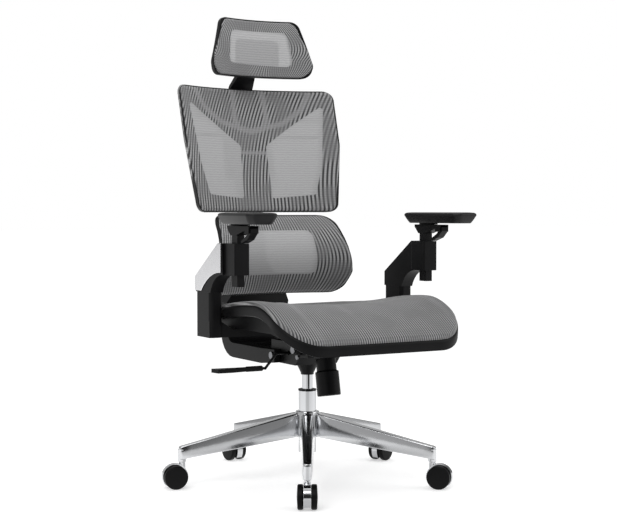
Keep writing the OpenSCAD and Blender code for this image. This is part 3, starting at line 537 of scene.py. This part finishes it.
# --- stretched mesh
def segment_distance(x: float, z: float, start: Point, end: Point) -> float:
    """Distance from a point to a straight piece of line.

    Args:
        x: The point's first coordinate.
        z: Its second coordinate.
        start: One end of the line.
        end: The other end.

    Returns:
        The distance.
    """
    (ax, az), (bx, bz) = start, end
    ex, ez = bx - ax, bz - az
    t = max(0.0, min(1.0, ((x - ax) * ex + (z - az) * ez) / (ex * ex + ez * ez)))
    return math.hypot(x - ax - t * ex, z - az - t * ez)


def rounded_polygon(points: Sequence[Point], radius: float) -> Callable[[float, float], float]:
    """Make a signed distance to a convex or concave polygon with rounded corners.

    Args:
        points: The corners before rounding, in millimetres.
        radius: The corner radius, by which the corners given are already drawn in.

    Returns:
        A function of x and z, below zero inside the shape.
    """
    def distance(x: float, z: float) -> float:
        """Distance from the outline at a point, in millimetres."""
        best = math.inf
        inside = False
        for (ax, az), (bx, bz) in zip(points, [*points[1:], points[0]]):
            best = min(best, segment_distance(x, z, (ax, az), (bx, bz)))
            if (az > z) != (bz > z) and x < (bx - ax) * (z - az) / (bz - az) + ax:
                inside = not inside
        return (-best if inside else best) - radius
    return distance


def spread(count: int, crowd: float = 0.55) -> list[float]:
    """Give count + 1 positions from -1 to 1 that crowd, by a share from 0 to 1, towards both ends."""
    raw = [-1 + 2 * i / count for i in range(count + 1)]
    return [(1 - crowd) * v + crowd * math.sin(v * math.pi / 2) for v in raw]


def eased(share: float) -> float:
    """Turn an even share from 0 to 1 into one that starts and ends gently."""
    return share * share * (3 - 2 * share)


def roll_over(edge: float, radius: float) -> float:
    """How far an edge rounded by a radius has turned away, at a distance inside the outline."""
    return radius - math.sqrt(max(0.0, radius ** 2 - (radius - edge) ** 2)) if edge < radius else 0.0


class ClothGrid:
    """A sheet shaped from a grid, with the attributes and the flat map that its weave reads."""

    def __init__(self, columns: int, rows: int) -> None:
        """Make the grid.

        Args:
            columns: Its faces across.
            rows: Its faces along.
        """
        self.shape = bmesh.new()
        bmesh.ops.create_grid(self.shape, x_segments=columns, y_segments=rows, size=1.0)
        self.across, self.along = spread(columns), spread(rows)
        self.zone, self.band, self.calm = (
            self.shape.verts.layers.float.new(name) for name in ("zone_mm", "band", "calm"))
        self.cloth = self.shape.loops.layers.uv.new("cloth_mm")
        self.flat: dict[int, Point] = {}
        self.shape.verts.index_update()

    def share(self, vert: bmesh.types.BMVert) -> Point:
        """Give a vertex's place across and along the sheet, each from -1 to 1."""
        columns, rows = len(self.across) - 1, len(self.along) - 1
        return (self.across[round((vert.co.x + 1) / 2 * columns)],
                self.along[round((vert.co.y + 1) / 2 * rows)])

    def place(self, vert: bmesh.types.BMVert, spot: Sequence[float], flat: Point, zone: float, band: float,
              calm: float) -> None:
        """Move a vertex and note what the weave needs there.

        Args:
            vert: The vertex.
            spot: Its place in millimetres.
            flat: Its place on the flat cloth in millimetres.
            zone: Signed distance to the nearest window.
            band: Phase of the bands.
            calm: How far the bands are calmed, from 0 to 1.
        """
        vert.co = Vector(spot) * MM
        vert[self.zone], vert[self.band], vert[self.calm] = zone, band, calm
        self.flat[vert.index] = flat

    def piece(self, name: str, skin: float, drop_inside: float = math.inf) -> Piece:
        """Lay the flat map and give the sheet its thickness.

        Args:
            name: The piece's name.
            skin: The cloth's thickness in millimetres.
            drop_inside: Faces further than this inside a window are removed.

        Returns:
            The sheet as an object.
        """
        for face in self.shape.faces:
            for loop in face.loops:
                loop[self.cloth].uv = self.flat[loop.vert.index]
        gone = [f for f in self.shape.faces if all(v[self.zone] < -drop_inside for v in f.verts)]
        bmesh.ops.delete(self.shape, geom=gone, context="FACES")
        sheet = finished(name, self.shape)
        thick = sheet.modifiers.new("thread_thickness", "SOLIDIFY")
        thick.thickness = skin * MM
        thick.offset = -1.0
        return sheet


def declare_sheet(size: Point) -> None:
    """Turn a stretched sheet's flat size into metres, and keep nothing.

    Args:
        size: Its flat width and length in millimetres.
    """
    size = (size[0] * MM, size[1] * MM)


@dataclass
class MeshPanel:
    """A back panel's stretched mesh: a curved sheet that turns back over its frame at every edge.

    All sizes are in millimetres. Heights are absolute, and half_widths are (height, half width) pairs.
    """
    name: str
    node: str
    half_widths: Sequence[Point]
    corner: float
    axis_y: float
    radius_at: Callable[[float], float]
    window: Callable[[float, float], float]
    band: Callable[[float, float], float]
    calm: Callable[[float, float], float] = lambda x, z: 0.0
    roll: float = 13.0
    inset: float = 0.0
    skin: float = 0.9
    columns: int = 96
    rows: int = 96
    layer_gap: float = 17.0
    weave: Optional[MeshWeave] = None
    # How far the front layer floats before the frame, how far the rear layer stays inside the outline and
    # past the windows' edges, and how much wider the curved cloth is than its plan
    front_gap: float = 0.3
    rear_trim: float = 6.0
    rear_overlap: float = 3.0
    arc_share: float = 1.04
    # The flat cloth's size over the outline's, with its turned-in edge, and the rear layer's over the front's
    cut_share: float = 1.14
    rear_share: float = 0.96

    def half_width(self, z: float) -> float:
        """Half width of the panel at height z, with its corners rounded.

        Args:
            z: Height in millimetres.

        Returns:
            The half width in millimetres.
        """
        pairs = self.half_widths
        low, high = pairs[0][0], pairs[-1][0]
        width = pairs[-1][1]
        for (za, wa), (zb, wb) in zip(pairs, pairs[1:]):
            if za <= z <= zb:
                t = (z - za) / (zb - za)
                t = eased(t)
                width = wa + (wb - wa) * t
                break
        return width - roll_over(max(0.0, min(z - low, high - z)), self.corner) - self.inset

    def sheet(self, name: str, behind: float, trim: float, roll: float, drop_inside: float) -> Piece:
        """Build one layer of the panel.

        Args:
            name: The piece's name.
            behind: How far the layer lies behind the front surface.
            trim: How far its edge stays inside the panel's outline.
            roll: Radius of its turned-back edge, or 0.
            drop_inside: Faces further than this inside a window are removed; a large value keeps all.

        Returns:
            The layer as an object, with its cloth_mm map and its zone_mm and band attributes.
        """
        low, high = self.half_widths[0][0] + trim, self.half_widths[-1][0] - trim
        grid = ClothGrid(self.columns, self.rows)
        for vert in grid.shape.verts:
            u, v = grid.share(vert)
            z = (low + high) / 2 + v * (high - low) / 2
            half = self.half_width(z) - trim
            x = u * half
            edge = min(half - abs(x), z - low, high - z)
            r = self.radius_at(z) + behind + roll_over(edge, roll)
            grid.place(vert, (x, self.axis_y + math.sqrt(r * r - x * x), z), (x * self.arc_share, z),
                       self.window(x, z), self.band(x, z), self.calm(x, z))
        return grid.piece(name, self.skin, drop_inside)

    def dress(self, rests_on: str) -> None:
        """Args:
            rests_on: The frame's piece or node that the cloth is stretched on; not used.
        """
        wide = 2 * max(w for _, w in self.half_widths) * self.cut_share
        tall = (self.half_widths[-1][0] - self.half_widths[0][0]) * self.cut_share
        front = self.sheet(self.name, self.front_gap, 0.0, self.roll, math.inf)
        rear = self.sheet(f"{self.name}_rear_layer", self.layer_gap, self.rear_trim, 0.0, self.rear_overlap)
        swap_in(front, self.node, Slot.MESH_FABRIC, self.weave)
        SHOP.dress(rear, Slot.MESH_FABRIC, BODY_OF[self.node], BACK_LAYER)
        for piece, share in ((front, 1.0), (rear, self.rear_share)):
            declare_sheet((wide * share, tall * share))


@dataclass(frozen=True)
class SeatShape:
    """The seat's plan with round corners, and its height over its depth. Sizes in millimetres."""
    half_w: float = 258.0
    front: float = 371.0
    rear: float = 150.0
    corner: float = 95.0
    crest: float = -190.0
    peak: float = 484.0
    rear_top: float = 452.0
    front_top: float = 396.0

    def top(self, y: float) -> float:
        """Height of the seat's edge at depth y, in millimetres."""
        if y > self.crest:
            turn = math.pi * (y - self.crest) / (self.rear - self.crest)
            return self.peak - (self.peak - self.rear_top) * (1 - math.cos(turn)) / 2
        turn = math.pi / 2 * (self.crest - y) / (self.front + self.crest)
        return self.peak - (self.peak - self.front_top) * (1 - math.cos(turn))

    def outline(self, inset: float, steps: int = 40) -> list[Point]:
        """Give the plan at an inset, as points that match between insets.

        Args:
            inset: How far the outline is drawn in.
            steps: How many points each side and each quarter turn share.

        Returns:
            The points, counter-clockwise from the front right.
        """
        points: list[Point] = []
        radius = self.corner - inset
        wide, back, ahead = self.half_w - self.corner, self.rear - self.corner, self.corner - self.front
        for x, y, start in ((wide, ahead, -90), (wide, back, 0), (-wide, back, 90), (-wide, ahead, 180)):
            for step in range(steps // 2 + 1):
                turn = math.radians(start + 180 * step / steps)
                points.append((x + radius * math.cos(turn), y + radius * math.sin(turn)))
        full: list[Point] = []
        for here, there in zip(points, [*points[1:], points[0]]):
            full.append(here)
            gap = math.dist(here, there)
            extra = steps if gap > 60 else 0
            full.extend((here[0] + (there[0] - here[0]) * k / (extra + 1),
                         here[1] + (there[1] - here[1]) * k / (extra + 1)) for k in range(1, extra + 1))
        return full


@dataclass
class SeatRim:
    """The seat's moulded rim: a rounded bead that follows the seat's edge and holds the mesh in a groove."""
    shape: SeatShape = field(default_factory=SeatShape)
    # Inset and drop below the seat's edge, round the bead's section
    section: Sequence[Point] = ((3.0, 35.2), (1.0, 33.4), (0.3, 24.0), (0.3, 13.5), (0.7, 11.0), (1.6, 9.5),
                                (3.2, 9.0), (5.0, 9.6), (26.0, 10.0), (26.0, 35.2))
    sharp_deg: float = 40.0

    def build(self) -> Piece:
        """Bridge rings round the seat, one for each corner of the section.

        Returns:
            The rim as an object.
        """
        mesh = bmesh.new()
        rings: list[list[bmesh.types.BMEdge]] = []
        for inset, drop in self.section:
            verts = [mesh.verts.new((x, y, self.shape.top(y) - drop)) for x, y in self.shape.outline(inset)]
            rings.append([mesh.edges.new((a, b)) for a, b in zip(verts, [*verts[1:], verts[0]])])
        for ring, following in zip(rings, [*rings[1:], rings[0]]):
            bmesh.ops.bridge_loops(mesh, edges=[*ring, *following])
        bmesh.ops.recalc_face_normals(mesh, faces=mesh.faces)
        bmesh.ops.scale(mesh, vec=(MM, MM, MM), verts=mesh.verts)
        return finished("seat_rim", mesh, self.sharp_deg)

    def dress(self) -> None:
        """Build the rim and hide its CAD node."""
        swap_in(self.build(), "seat_frame")


@dataclass
class SeatSheet:
    """The seat's mesh: rolled over the rim's edge, dished in the middle, with a waterfall front edge."""
    shape: SeatShape = field(default_factory=SeatShape)
    inset: float = 2.2
    roll: float = 9.0
    skin: float = 0.9
    columns: int = 120
    rows: int = 120
    # The cloth's height over the rim's line, and the dish: its depth, margin, middle and half length
    lift: float = 1.0
    dish: float = 17.0
    dish_margin: float = 28.0
    dish_middle: float = -95.0
    dish_reach: float = 250.0
    # Pull lines of the stretched mesh: side, start across, lean and reach; then their width and height
    pulls: Sequence[tuple[float, ...]] = ((-1, 150, 0.30, 330), (1, 172, 0.42, 250), (-1, 40, 0.18, 190))
    pull_w: float = 8.0
    pull_rise: float = 1.6
    band_mm: float = 6.4
    # The flat cloth's width and length over the plan's, with its turned-in edge
    cut_share: Point = (1.1, 1.2)

    def crease(self, x: float, y: float) -> float:
        """How strongly a pull line passes a point, from 0 to 1."""
        total = 0.0
        for side, start, lean, reach in self.pulls:
            line = side * (start - lean * (y + 60) - 0.0008 * (y + 60) ** 2)
            near = math.exp(-((x - line) / self.pull_w) ** 2)
            total += near * math.exp(-((y + 130) / reach * 1.6) ** 2)
        return min(1.0, total)

    def phase(self, x: float, y: float) -> float:
        """Phase of the bands: straight at the front, fanning out towards the rear."""
        lean = 0.0011 * (y + 380) ** 2 * (0.25 + 0.75 * math.tanh((x + 40) / 160))
        return (x + 0.22 * lean) / self.band_mm

    def build(self) -> Piece:
        """Shape the sheet from a grid over the seat's plan.

        Returns:
            The sheet as an object.
        """
        grid = ClothGrid(self.columns, self.rows)
        plan, inset = self.shape, self.inset
        middle, reach = (plan.rear - plan.front) / 2, (plan.rear + plan.front) / 2 - inset
        for vert in grid.shape.verts:
            u, v = grid.share(vert)
            y = middle + v * reach
            end = reach - abs(v) * reach
            half = plan.half_w - inset - roll_over(end, plan.corner - inset)
            x = u * half
            hollow = (max(0.0, 1 - (x / (plan.half_w - self.dish_margin)) ** 2)
                      * max(0.0, 1 - ((y - self.dish_middle) / self.dish_reach) ** 2))
            crease = self.crease(x, y)
            z = (plan.top(y) + self.lift - roll_over(min(half - abs(x), end), self.roll)
                 - self.dish * hollow + self.pull_rise * crease)
            grid.place(vert, (x, y, z), (x, y), NO_WINDOW, self.phase(x, y), crease)
        return grid.piece("seat_cloth", self.skin)

    def dress(self) -> None:
        piece = self.build()
        swap_in(piece, "seat_mesh", Slot.MESH_FABRIC, SEAT_WEAVE)
        plan, (wide, tall) = self.shape, self.cut_share
        declare_sheet((2 * plan.half_w * wide, (plan.front + plan.rear) * tall))


# --- arm pads
@dataclass
class ArmPad:
    """A soft armrest: cut corners, undercut sides, a rounded upper edge and a faint crown. In millimetres."""
    side: str
    toe_deg: float = 6.0
    length: float = 218.0
    width: float = 80.0
    cut: float = 14.0
    ease: float = 5.0
    sharp_deg: float = 50.0
    levels: Sequence[Point] = ((0.0, 11.0), (1.0, 9.8), (9.0, 5.4), (18.5, 0.9), (20.5, 0.2), (23.0, 0.7),
                               (25.4, 2.4), (26.6, 5.0), (27.2, 9.0), (27.6, 15.0))

    def ring(self, inset: float) -> list[Point]:
        """Give the pad's plan at an inset, with short rounds at its cut corners.

        Args:
            inset: How far the outline is drawn in.

        Returns:
            The outline's points, counter-clockwise from the left front.
        """
        w, h, c = self.width / 2 - inset, self.length / 2 - inset, self.cut
        corners = [(-w, -h + c), (-w + c, -h), (w - c, -h), (w, -h + c),
                   (w, h - c), (w - c, h), (-w + c, h), (-w, h - c)]
        points: list[Point] = []
        for i, (x, y) in enumerate(corners):
            px, py = corners[i - 1]
            nx, ny = corners[(i + 1) % len(corners)]
            back, ahead = math.hypot(px - x, py - y), math.hypot(nx - x, ny - y)
            ax, ay = x + (px - x) / back * self.ease, y + (py - y) / back * self.ease
            bx, by = x + (nx - x) / ahead * self.ease, y + (ny - y) / ahead * self.ease
            for t in (0.0, 0.33, 0.67, 1.0):
                points.append(((1 - t) ** 2 * ax + 2 * t * (1 - t) * x + t * t * bx,
                               (1 - t) ** 2 * ay + 2 * t * (1 - t) * y + t * t * by))
        return points

    def build(self) -> Piece:
        """Extrude the plan upwards through its levels and close the top.

        Returns:
            The pad as an object in its place.
        """
        low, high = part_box(f"arm_pad_{self.side}")
        centre = (low + high) / 2
        shape = bmesh.new()
        verts = [shape.verts.new((x, y, self.levels[0][0])) for x, y in self.ring(self.levels[0][1])]
        bottom = shape.faces.new(verts)
        rim = list(bottom.edges)
        for height, inset in self.levels[1:]:
            grown = bmesh.ops.extrude_edge_only(shape, edges=rim)["geom"]
            rim = [g for g in grown if isinstance(g, bmesh.types.BMEdge)]
            new = [g for g in grown if isinstance(g, bmesh.types.BMVert)]
            places = self.ring(inset)
            for vert in new:
                old = min(range(len(verts)), key=lambda k: (verts[k].co.xy - vert.co.xy).length)
                vert.co = Vector((*places[old], height))
            verts = sorted(new, key=lambda v: min(
                range(len(places)), key=lambda k: (Vector(places[k]) - v.co.xy).length))
        bmesh.ops.edgeloop_fill(shape, edges=rim)
        bmesh.ops.recalc_face_normals(shape, faces=shape.faces)
        turn = self.toe_deg if self.side == "left" else -self.toe_deg
        bmesh.ops.scale(shape, vec=(MM, MM, MM), verts=shape.verts)
        bmesh.ops.rotate(shape, cent=(0, 0, 0), verts=shape.verts,
                         matrix=Euler((0, 0, math.radians(turn))).to_matrix())
        bmesh.ops.translate(shape, vec=(centre.x, centre.y, low.z), verts=shape.verts)
        return finished(f"armrest_pad_{self.side}", shape, self.sharp_deg)

    def dress(self) -> None:
        piece = self.build()
        swap_in(piece, f"arm_pad_{self.side}", Slot.SOFT_PAD)


# --- studio
@dataclass
class Studio:
    """A white product studio: a pale floor, soft lights and the camera."""
    distance: float = 3.5
    camera_height: float = 0.704
    azimuth_deg: float = -30.0
    pitch_deg: float = 2.34
    lens_mm: float = 78.8
    shift_x: float = 0.002
    room_light: float = 0.58
    # Light from above: where it fades in, as the upward share of a direction, and its level
    high_light: Point = (0.45, 0.75)
    high_level: float = 1.15
    # The floor: half its size, its glow near and far and the distances between, in metres, then what
    # bounced light sees of it: its strength, and the share that is not flagged
    floor_half: float = 40.0
    floor_glow: Point = (0.45, 1.05)
    floor_span: Point = (0.5, 2.2)
    floor_paper: str = "#F4F4F4"
    floor_roughness: float = 0.9
    floor_specular: float = 0.1
    floor_bounce: float = 1.2
    plain_floor: float = 0.6
    # Soft boxes: name, place, aim, side in metres and power in watts
    boxes: Sequence[tuple] = (("key_soft_box", (-2.6, -2.2, 3.0), (0, 0, 0.6), 2.4, 55),
                              ("fill_soft_box", (2.8, -2.4, 2.2), (0, 0, 0.6), 2.6, 28),
                              ("top_soft_box", (0.2, 0.4, 3.6), (0, 0, 0), 3.0, 38))
    # Brightness of the walls round the room by compass angle: two dark flags between soft boxes
    walls: Sequence[Point] = ((-180, 0.95), (-150, 0.5), (-120, 1.0), (-66, 1.0), (-50, 0.7), (-43, 0.05),
                              (-10, 0.05), (-4, 0.5), (20, 0.7), (60, 1.0), (80, 1.0), (112, 0.3),
                              (126, 0.3), (146, 1.0), (180, 0.95))

    def flags(self, tree: Nodes, place: Socket) -> Socket:
        """Give the walls' brightness by the compass angle of a place or direction.

        Args:
            tree: The node tree that gets the nodes.
            place: The place or direction.

        Returns:
            The brightness as a colour.
        """
        node = partial(add_node, tree)
        split = node("SeparateXYZ", inputs={0: place})
        ahead = node("Math", {"operation": "MULTIPLY"}, {0: split.outputs["Y"], 1: -1.0})
        turn = node("Math", {"operation": "ARCTAN2"}, {
            0: split.outputs["X"], 1: ahead.outputs[0]})
        share = node("MapRange", inputs={
            "Value": turn.outputs[0], "From Min": -math.pi, "From Max": math.pi})
        around = node("ValToRGB", inputs={0: share.outputs[0]})
        band = around.color_ramp.elements
        for stop, (degrees, level) in zip([band[0], band[1]], [self.walls[0], self.walls[-1]]):
            stop.position = degrees / 360 + 0.5
            stop.color = (level, level, level, 1)
        for degrees, level in self.walls[1:-1]:
            band.new(degrees / 360 + 0.5).color = (level, level, level, 1)
        return around.outputs[0]

    def floor(self) -> None:
        """Lay a wide pale floor."""
        shape = bmesh.new()
        bmesh.ops.create_grid(shape, x_segments=1, y_segments=1, size=self.floor_half)
        floor = finished("studio_floor", shape)
        material, tree, shader = new_material("studio_floor_paper")
        node = partial(add_node, tree)
        shader.inputs["Roughness"].default_value = self.floor_roughness
        shader.inputs["Specular IOR Level"].default_value = self.floor_specular
        shader.inputs["Emission Color"].default_value = linear("#FFFFFF")
        place = node("TexCoord")
        away = node("VectorMath", {"operation": "LENGTH"}, {0: place.outputs["Object"]})
        far = node("MapRange", {"interpolation_type": "SMOOTHSTEP"}, {
            "Value": away.outputs["Value"], **span("From", self.floor_span)})
        paper = node("Mix", {"data_type": "RGBA"}, {
            "Factor": far.outputs[0], 6: linear(self.floor_paper), 7: (0, 0, 0, 1)})
        tree.links.new(paper.outputs[2], shader.inputs["Base Color"])
        glow = node("MapRange", inputs={
            "Value": far.outputs[0], **span("To", self.floor_glow)})
        tree.links.new(glow.outputs[0], shader.inputs["Emission Strength"])
        # Metal and bounced light see the floor as darkly flagged as the walls
        mirrored = node("Emission", inputs={
            "Color": self.flags(tree, place.outputs["Object"]), "Strength": self.floor_bounce})
        path = node("LightPath")
        plain = node("MapRange", inputs={
            "Value": path.outputs["Is Camera Ray"], "To Min": self.plain_floor, "To Max": 1.0})
        mix = node("MixShader", inputs={
            0: plain.outputs[0], 1: mirrored.outputs[0], 2: shader.outputs[0]})
        tree.links.new(mix.outputs[0], tree.nodes["Material Output"].inputs["Surface"])
        floor.data.materials.append(material)

    def light(self, name: str, place: Sequence[float], aim: Sequence[float], size: float,
              power: float) -> None:
        """Hang one square soft box.

        Args:
            name: The light's name.
            place: Where it hangs, in metres.
            aim: The point it faces.
            size: The side of the box in metres.
            power: Its power in watts.
        """
        data = bpy.data.lights.new(name, "AREA")
        data.size = size
        data.energy = power
        lamp = bpy.data.objects.new(name, data)
        lamp.location = place
        lamp.rotation_euler = (Vector(aim) - Vector(place)).to_track_quat("-Z", "Y").to_euler()
        bpy.context.scene.collection.objects.link(lamp)

    def world(self) -> None:
        """Surround the studio with white, which reflections see as banded soft boxes and dark gaps."""
        world = bpy.data.worlds.new("studio_world")
        bpy.context.scene.world = world
        world.use_nodes = True
        tree = world.node_tree
        tree.nodes.clear()
        node = partial(add_node, tree)
        place = node("TexCoord")
        around = self.flags(tree, place.outputs["Generated"])
        split = node("SeparateXYZ", inputs={0: place.outputs["Generated"]})
        high = node("MapRange", {"interpolation_type": "SMOOTHSTEP"}, {
            "Value": split.outputs["Z"], **span("From", self.high_light)})
        room = node("Mix", {"data_type": "RGBA"}, {
            "Factor": high.outputs[0], 6: around, 7: (*[self.high_level] * 3, 1)})
        seen = node("Background", inputs={"Color": (1, 1, 1, 1), "Strength": 1.0})
        lit = node("Background", inputs={
            "Color": room.outputs[2], "Strength": self.room_light})
        path = node("LightPath")
        mix = node("MixShader", inputs={
            0: path.outputs["Is Camera Ray"], 1: lit.outputs[0], 2: seen.outputs[0]})
        node("OutputWorld", inputs={"Surface": mix.outputs[0]})

    def camera(self) -> None:
        """Stand the camera in front, on the sitter's right."""
        data = bpy.data.cameras.new("studio_camera")
        data.lens = self.lens_mm
        data.shift_x = self.shift_x
        camera = bpy.data.objects.new("studio_camera", data)
        turn = math.radians(self.azimuth_deg)
        camera.location = (self.distance * math.sin(turn), -self.distance * math.cos(turn),
                           self.camera_height)
        camera.rotation_euler = (math.radians(90 - self.pitch_deg), 0.0, turn)
        bpy.context.scene.collection.objects.link(camera)
        bpy.context.scene.camera = camera

    def build(self) -> None:
        """Set up the whole studio."""
        self.camera()
        self.floor()
        self.world()
        for box in self.boxes:
            self.light(*box)
        bpy.context.scene.view_settings.view_transform = "Standard"


# --- the chair
@dataclass(frozen=True)
class Curve:
    """A panel's radius over its height, as a parabola about one height. In millimetres."""
    height: float
    radius: float
    slope: float
    bend: float

    def __call__(self, z: float) -> float:
        """Radius at height z."""
        rise = z - self.height
        return self.radius + self.slope * rise + self.bend * rise * rise


@dataclass(frozen=True)
class Bands:
    """A panel's bands: their pitch, their bow about a height, and their lean above or below another."""
    pitch: float
    shift: float = 0.0
    middle: float = 0.0
    bow: float = 0.0
    lean_from: float = 0.0
    lean_way: int = 1
    lean: float = 0.0
    lean_bend: float = 0.0

    def __call__(self, x: float, z: float) -> float:
        """Phase of the bands at a place."""
        past = max(0.0, (z - self.lean_from) * self.lean_way)
        bowed = (x + self.shift) * (1 + self.bow * (z - self.middle) ** 2)
        return (bowed - self.lean * past - self.lean_bend * past * past) / self.pitch


def upper_window(x: float, z: float) -> float:
    """Signed distance to the nearer of the upper back's two windows."""
    return UPPER_WINDOW(abs(x), z)


def near_line(x: float, z: float, points: Sequence[Point], reach: float) -> float:
    """How close a point lies to a bent line of half width reach: 1 on it, 0 beyond it."""
    best = min(segment_distance(x, z, start, end) for start, end in zip(points, points[1:]))
    fade = 3.0
    return eased(max(0.0, min(1.0, (reach + fade - best) / (2 * fade))))


def upper_calm(x: float, z: float) -> float:
    """Where the ribs behind the upper back touch its mesh and calm its bands."""
    return RIB_CALM * max(near_line(abs(x), z, line, reach) for line, reach in UPPER_RIBS)


# The ribs' lines and half widths: collar, shoulder and bridge
UPPER_RIBS = (([(46, 1030), (50, 955), (38, 930), (0, 922)], 8.0),
              ([(48, 934), (96, 946), (150, 985), (176, 1030)], 7.0),
              ([(0, 862), (42, 862)], 5.0))
RIB_CALM = 0.8
UPPER_BANDS = Bands(10.2, lean_from=745.0, lean=0.05, lean_bend=0.00085)
LUMBAR_BANDS = Bands(9.0, middle=560.0, bow=0.000015)
HEADREST_BANDS = Bands(7.2, shift=14.0, middle=1150.0, bow=0.00009, lean_from=1116.0, lean_way=-1, lean=0.7)
UPPER_WINDOW = rounded_polygon([(51, 743), (158, 753), (180, 830), (200, 985), (124, 934), (47, 878)], 7.0)
LUMBAR_WINDOW = rounded_polygon([(-88, 548), (94, 548), (90, 630), (-92, 630)], 18.0)
HEADREST_WINDOW = rounded_polygon([(-76, 1120), (84, 1116), (72, 1178), (-70, 1178)], 16.0)


@dataclass
class Chair:
    """The whole chair: its mesh panels, its pads and its rigid pieces."""
    # How far each piece's edges are rounded, in millimetres, and the same for the pieces of both sides
    rigid: dict[str, float] = field(default_factory=lambda: {
        "gas_tube": 0.8, "guide_bush": 0.5, "gas_cylinder": 0.4, "mech_housing": 2.0, "tension_knob": 3.0,
        "lever_rod": 0.3, "lever_grip": 1.6, "seat_plate": 1.0, "seat_pan": 1.5, "back_yoke": 6.0,
        "lumbar_bracket": 1.5, "lumbar_frame": 1.5, "back_carrier": 4.0, "back_frame": 1.5,
        "headrest_neck": 2.5, "headrest_plate": 1.2, "headrest_frame": 2.4})
    paired: dict[str, float] = field(default_factory=lambda: {
        "arm_foot": 5.0, "arm_upright": 5.0, "arm_trim": 1.2, "arm_post": 1.4, "arm_trigger": 1.4,
        "pad_swivel": 0.6})

    def casters(self) -> None:
        """Round the edges of every caster's body and wheels."""
        for number in range(1, 6):
            HardPiece(f"caster_body_{number}", 1.0).dress()
            HardPiece(f"caster_wheels_{number}", 0.8, sharp_deg=40.0).dress()

    def panels(self) -> None:
        """Stretch the mesh over the back, the lumbar panel and the headrest."""
        MeshPanel("upper_back_cloth", "back_mesh", [(697, 214), (887, 238), (1041, 240)], 26.0, -84.0,
                  Curve(708.0, 350.0, 0.19, 0.0001), upper_window, UPPER_BANDS,
                  upper_calm).dress("back_frame_shell")
        MeshPanel("lumbar_cloth", "lumbar_mesh", [(475, 193), (535, 205), (690, 179)], 34.0, -194.0,
                  Curve(575.0, 350.0, 0.0, 0.0047), LUMBAR_WINDOW, LUMBAR_BANDS).dress("lumbar_frame_shell")
        MeshPanel("headrest_cloth", "headrest_mesh", [(1071, 147), (1102, 155), (1223, 118)], 24.0, -4.0,
                  Curve(1130.0, 279.0, 0.0, 0.0009), HEADREST_WINDOW, HEADREST_BANDS,
                  roll=5.0, inset=3.0, columns=72, rows=48, layer_gap=9.0,
                  weave=HEADREST_WEAVE).dress("headrest_frame_shell")

    def leftovers(self) -> None:
        """Give every CAD node that still shows its finish."""
        for name, node in frame["nodes"].items():
            if not node.hide_render:
                node.data.materials.clear()
                node.data.materials.append(SHOP.material(SLOT_OF[name].value))

    def build(self) -> None:
        """Build the chair in order."""
        for node, edge in self.rigid.items():
            HardPiece(node, edge).dress()
        StarBase().dress()
        self.casters()
        self.panels()
        SeatRim().dress()
        SeatSheet().dress()
        for side in ("left", "right"):
            for name, edge in self.paired.items():
                HardPiece(f"{name}_{side}", edge).dress()
            ArmPad(side).dress()
        self.leftovers()


def main() -> None:
    """Build the studio and the chair."""
    logging.basicConfig(level=logging.INFO, format="%(name)s: %(message)s")
    Studio().build()
    Chair().build()


if __name__ == "__main__":
    main()
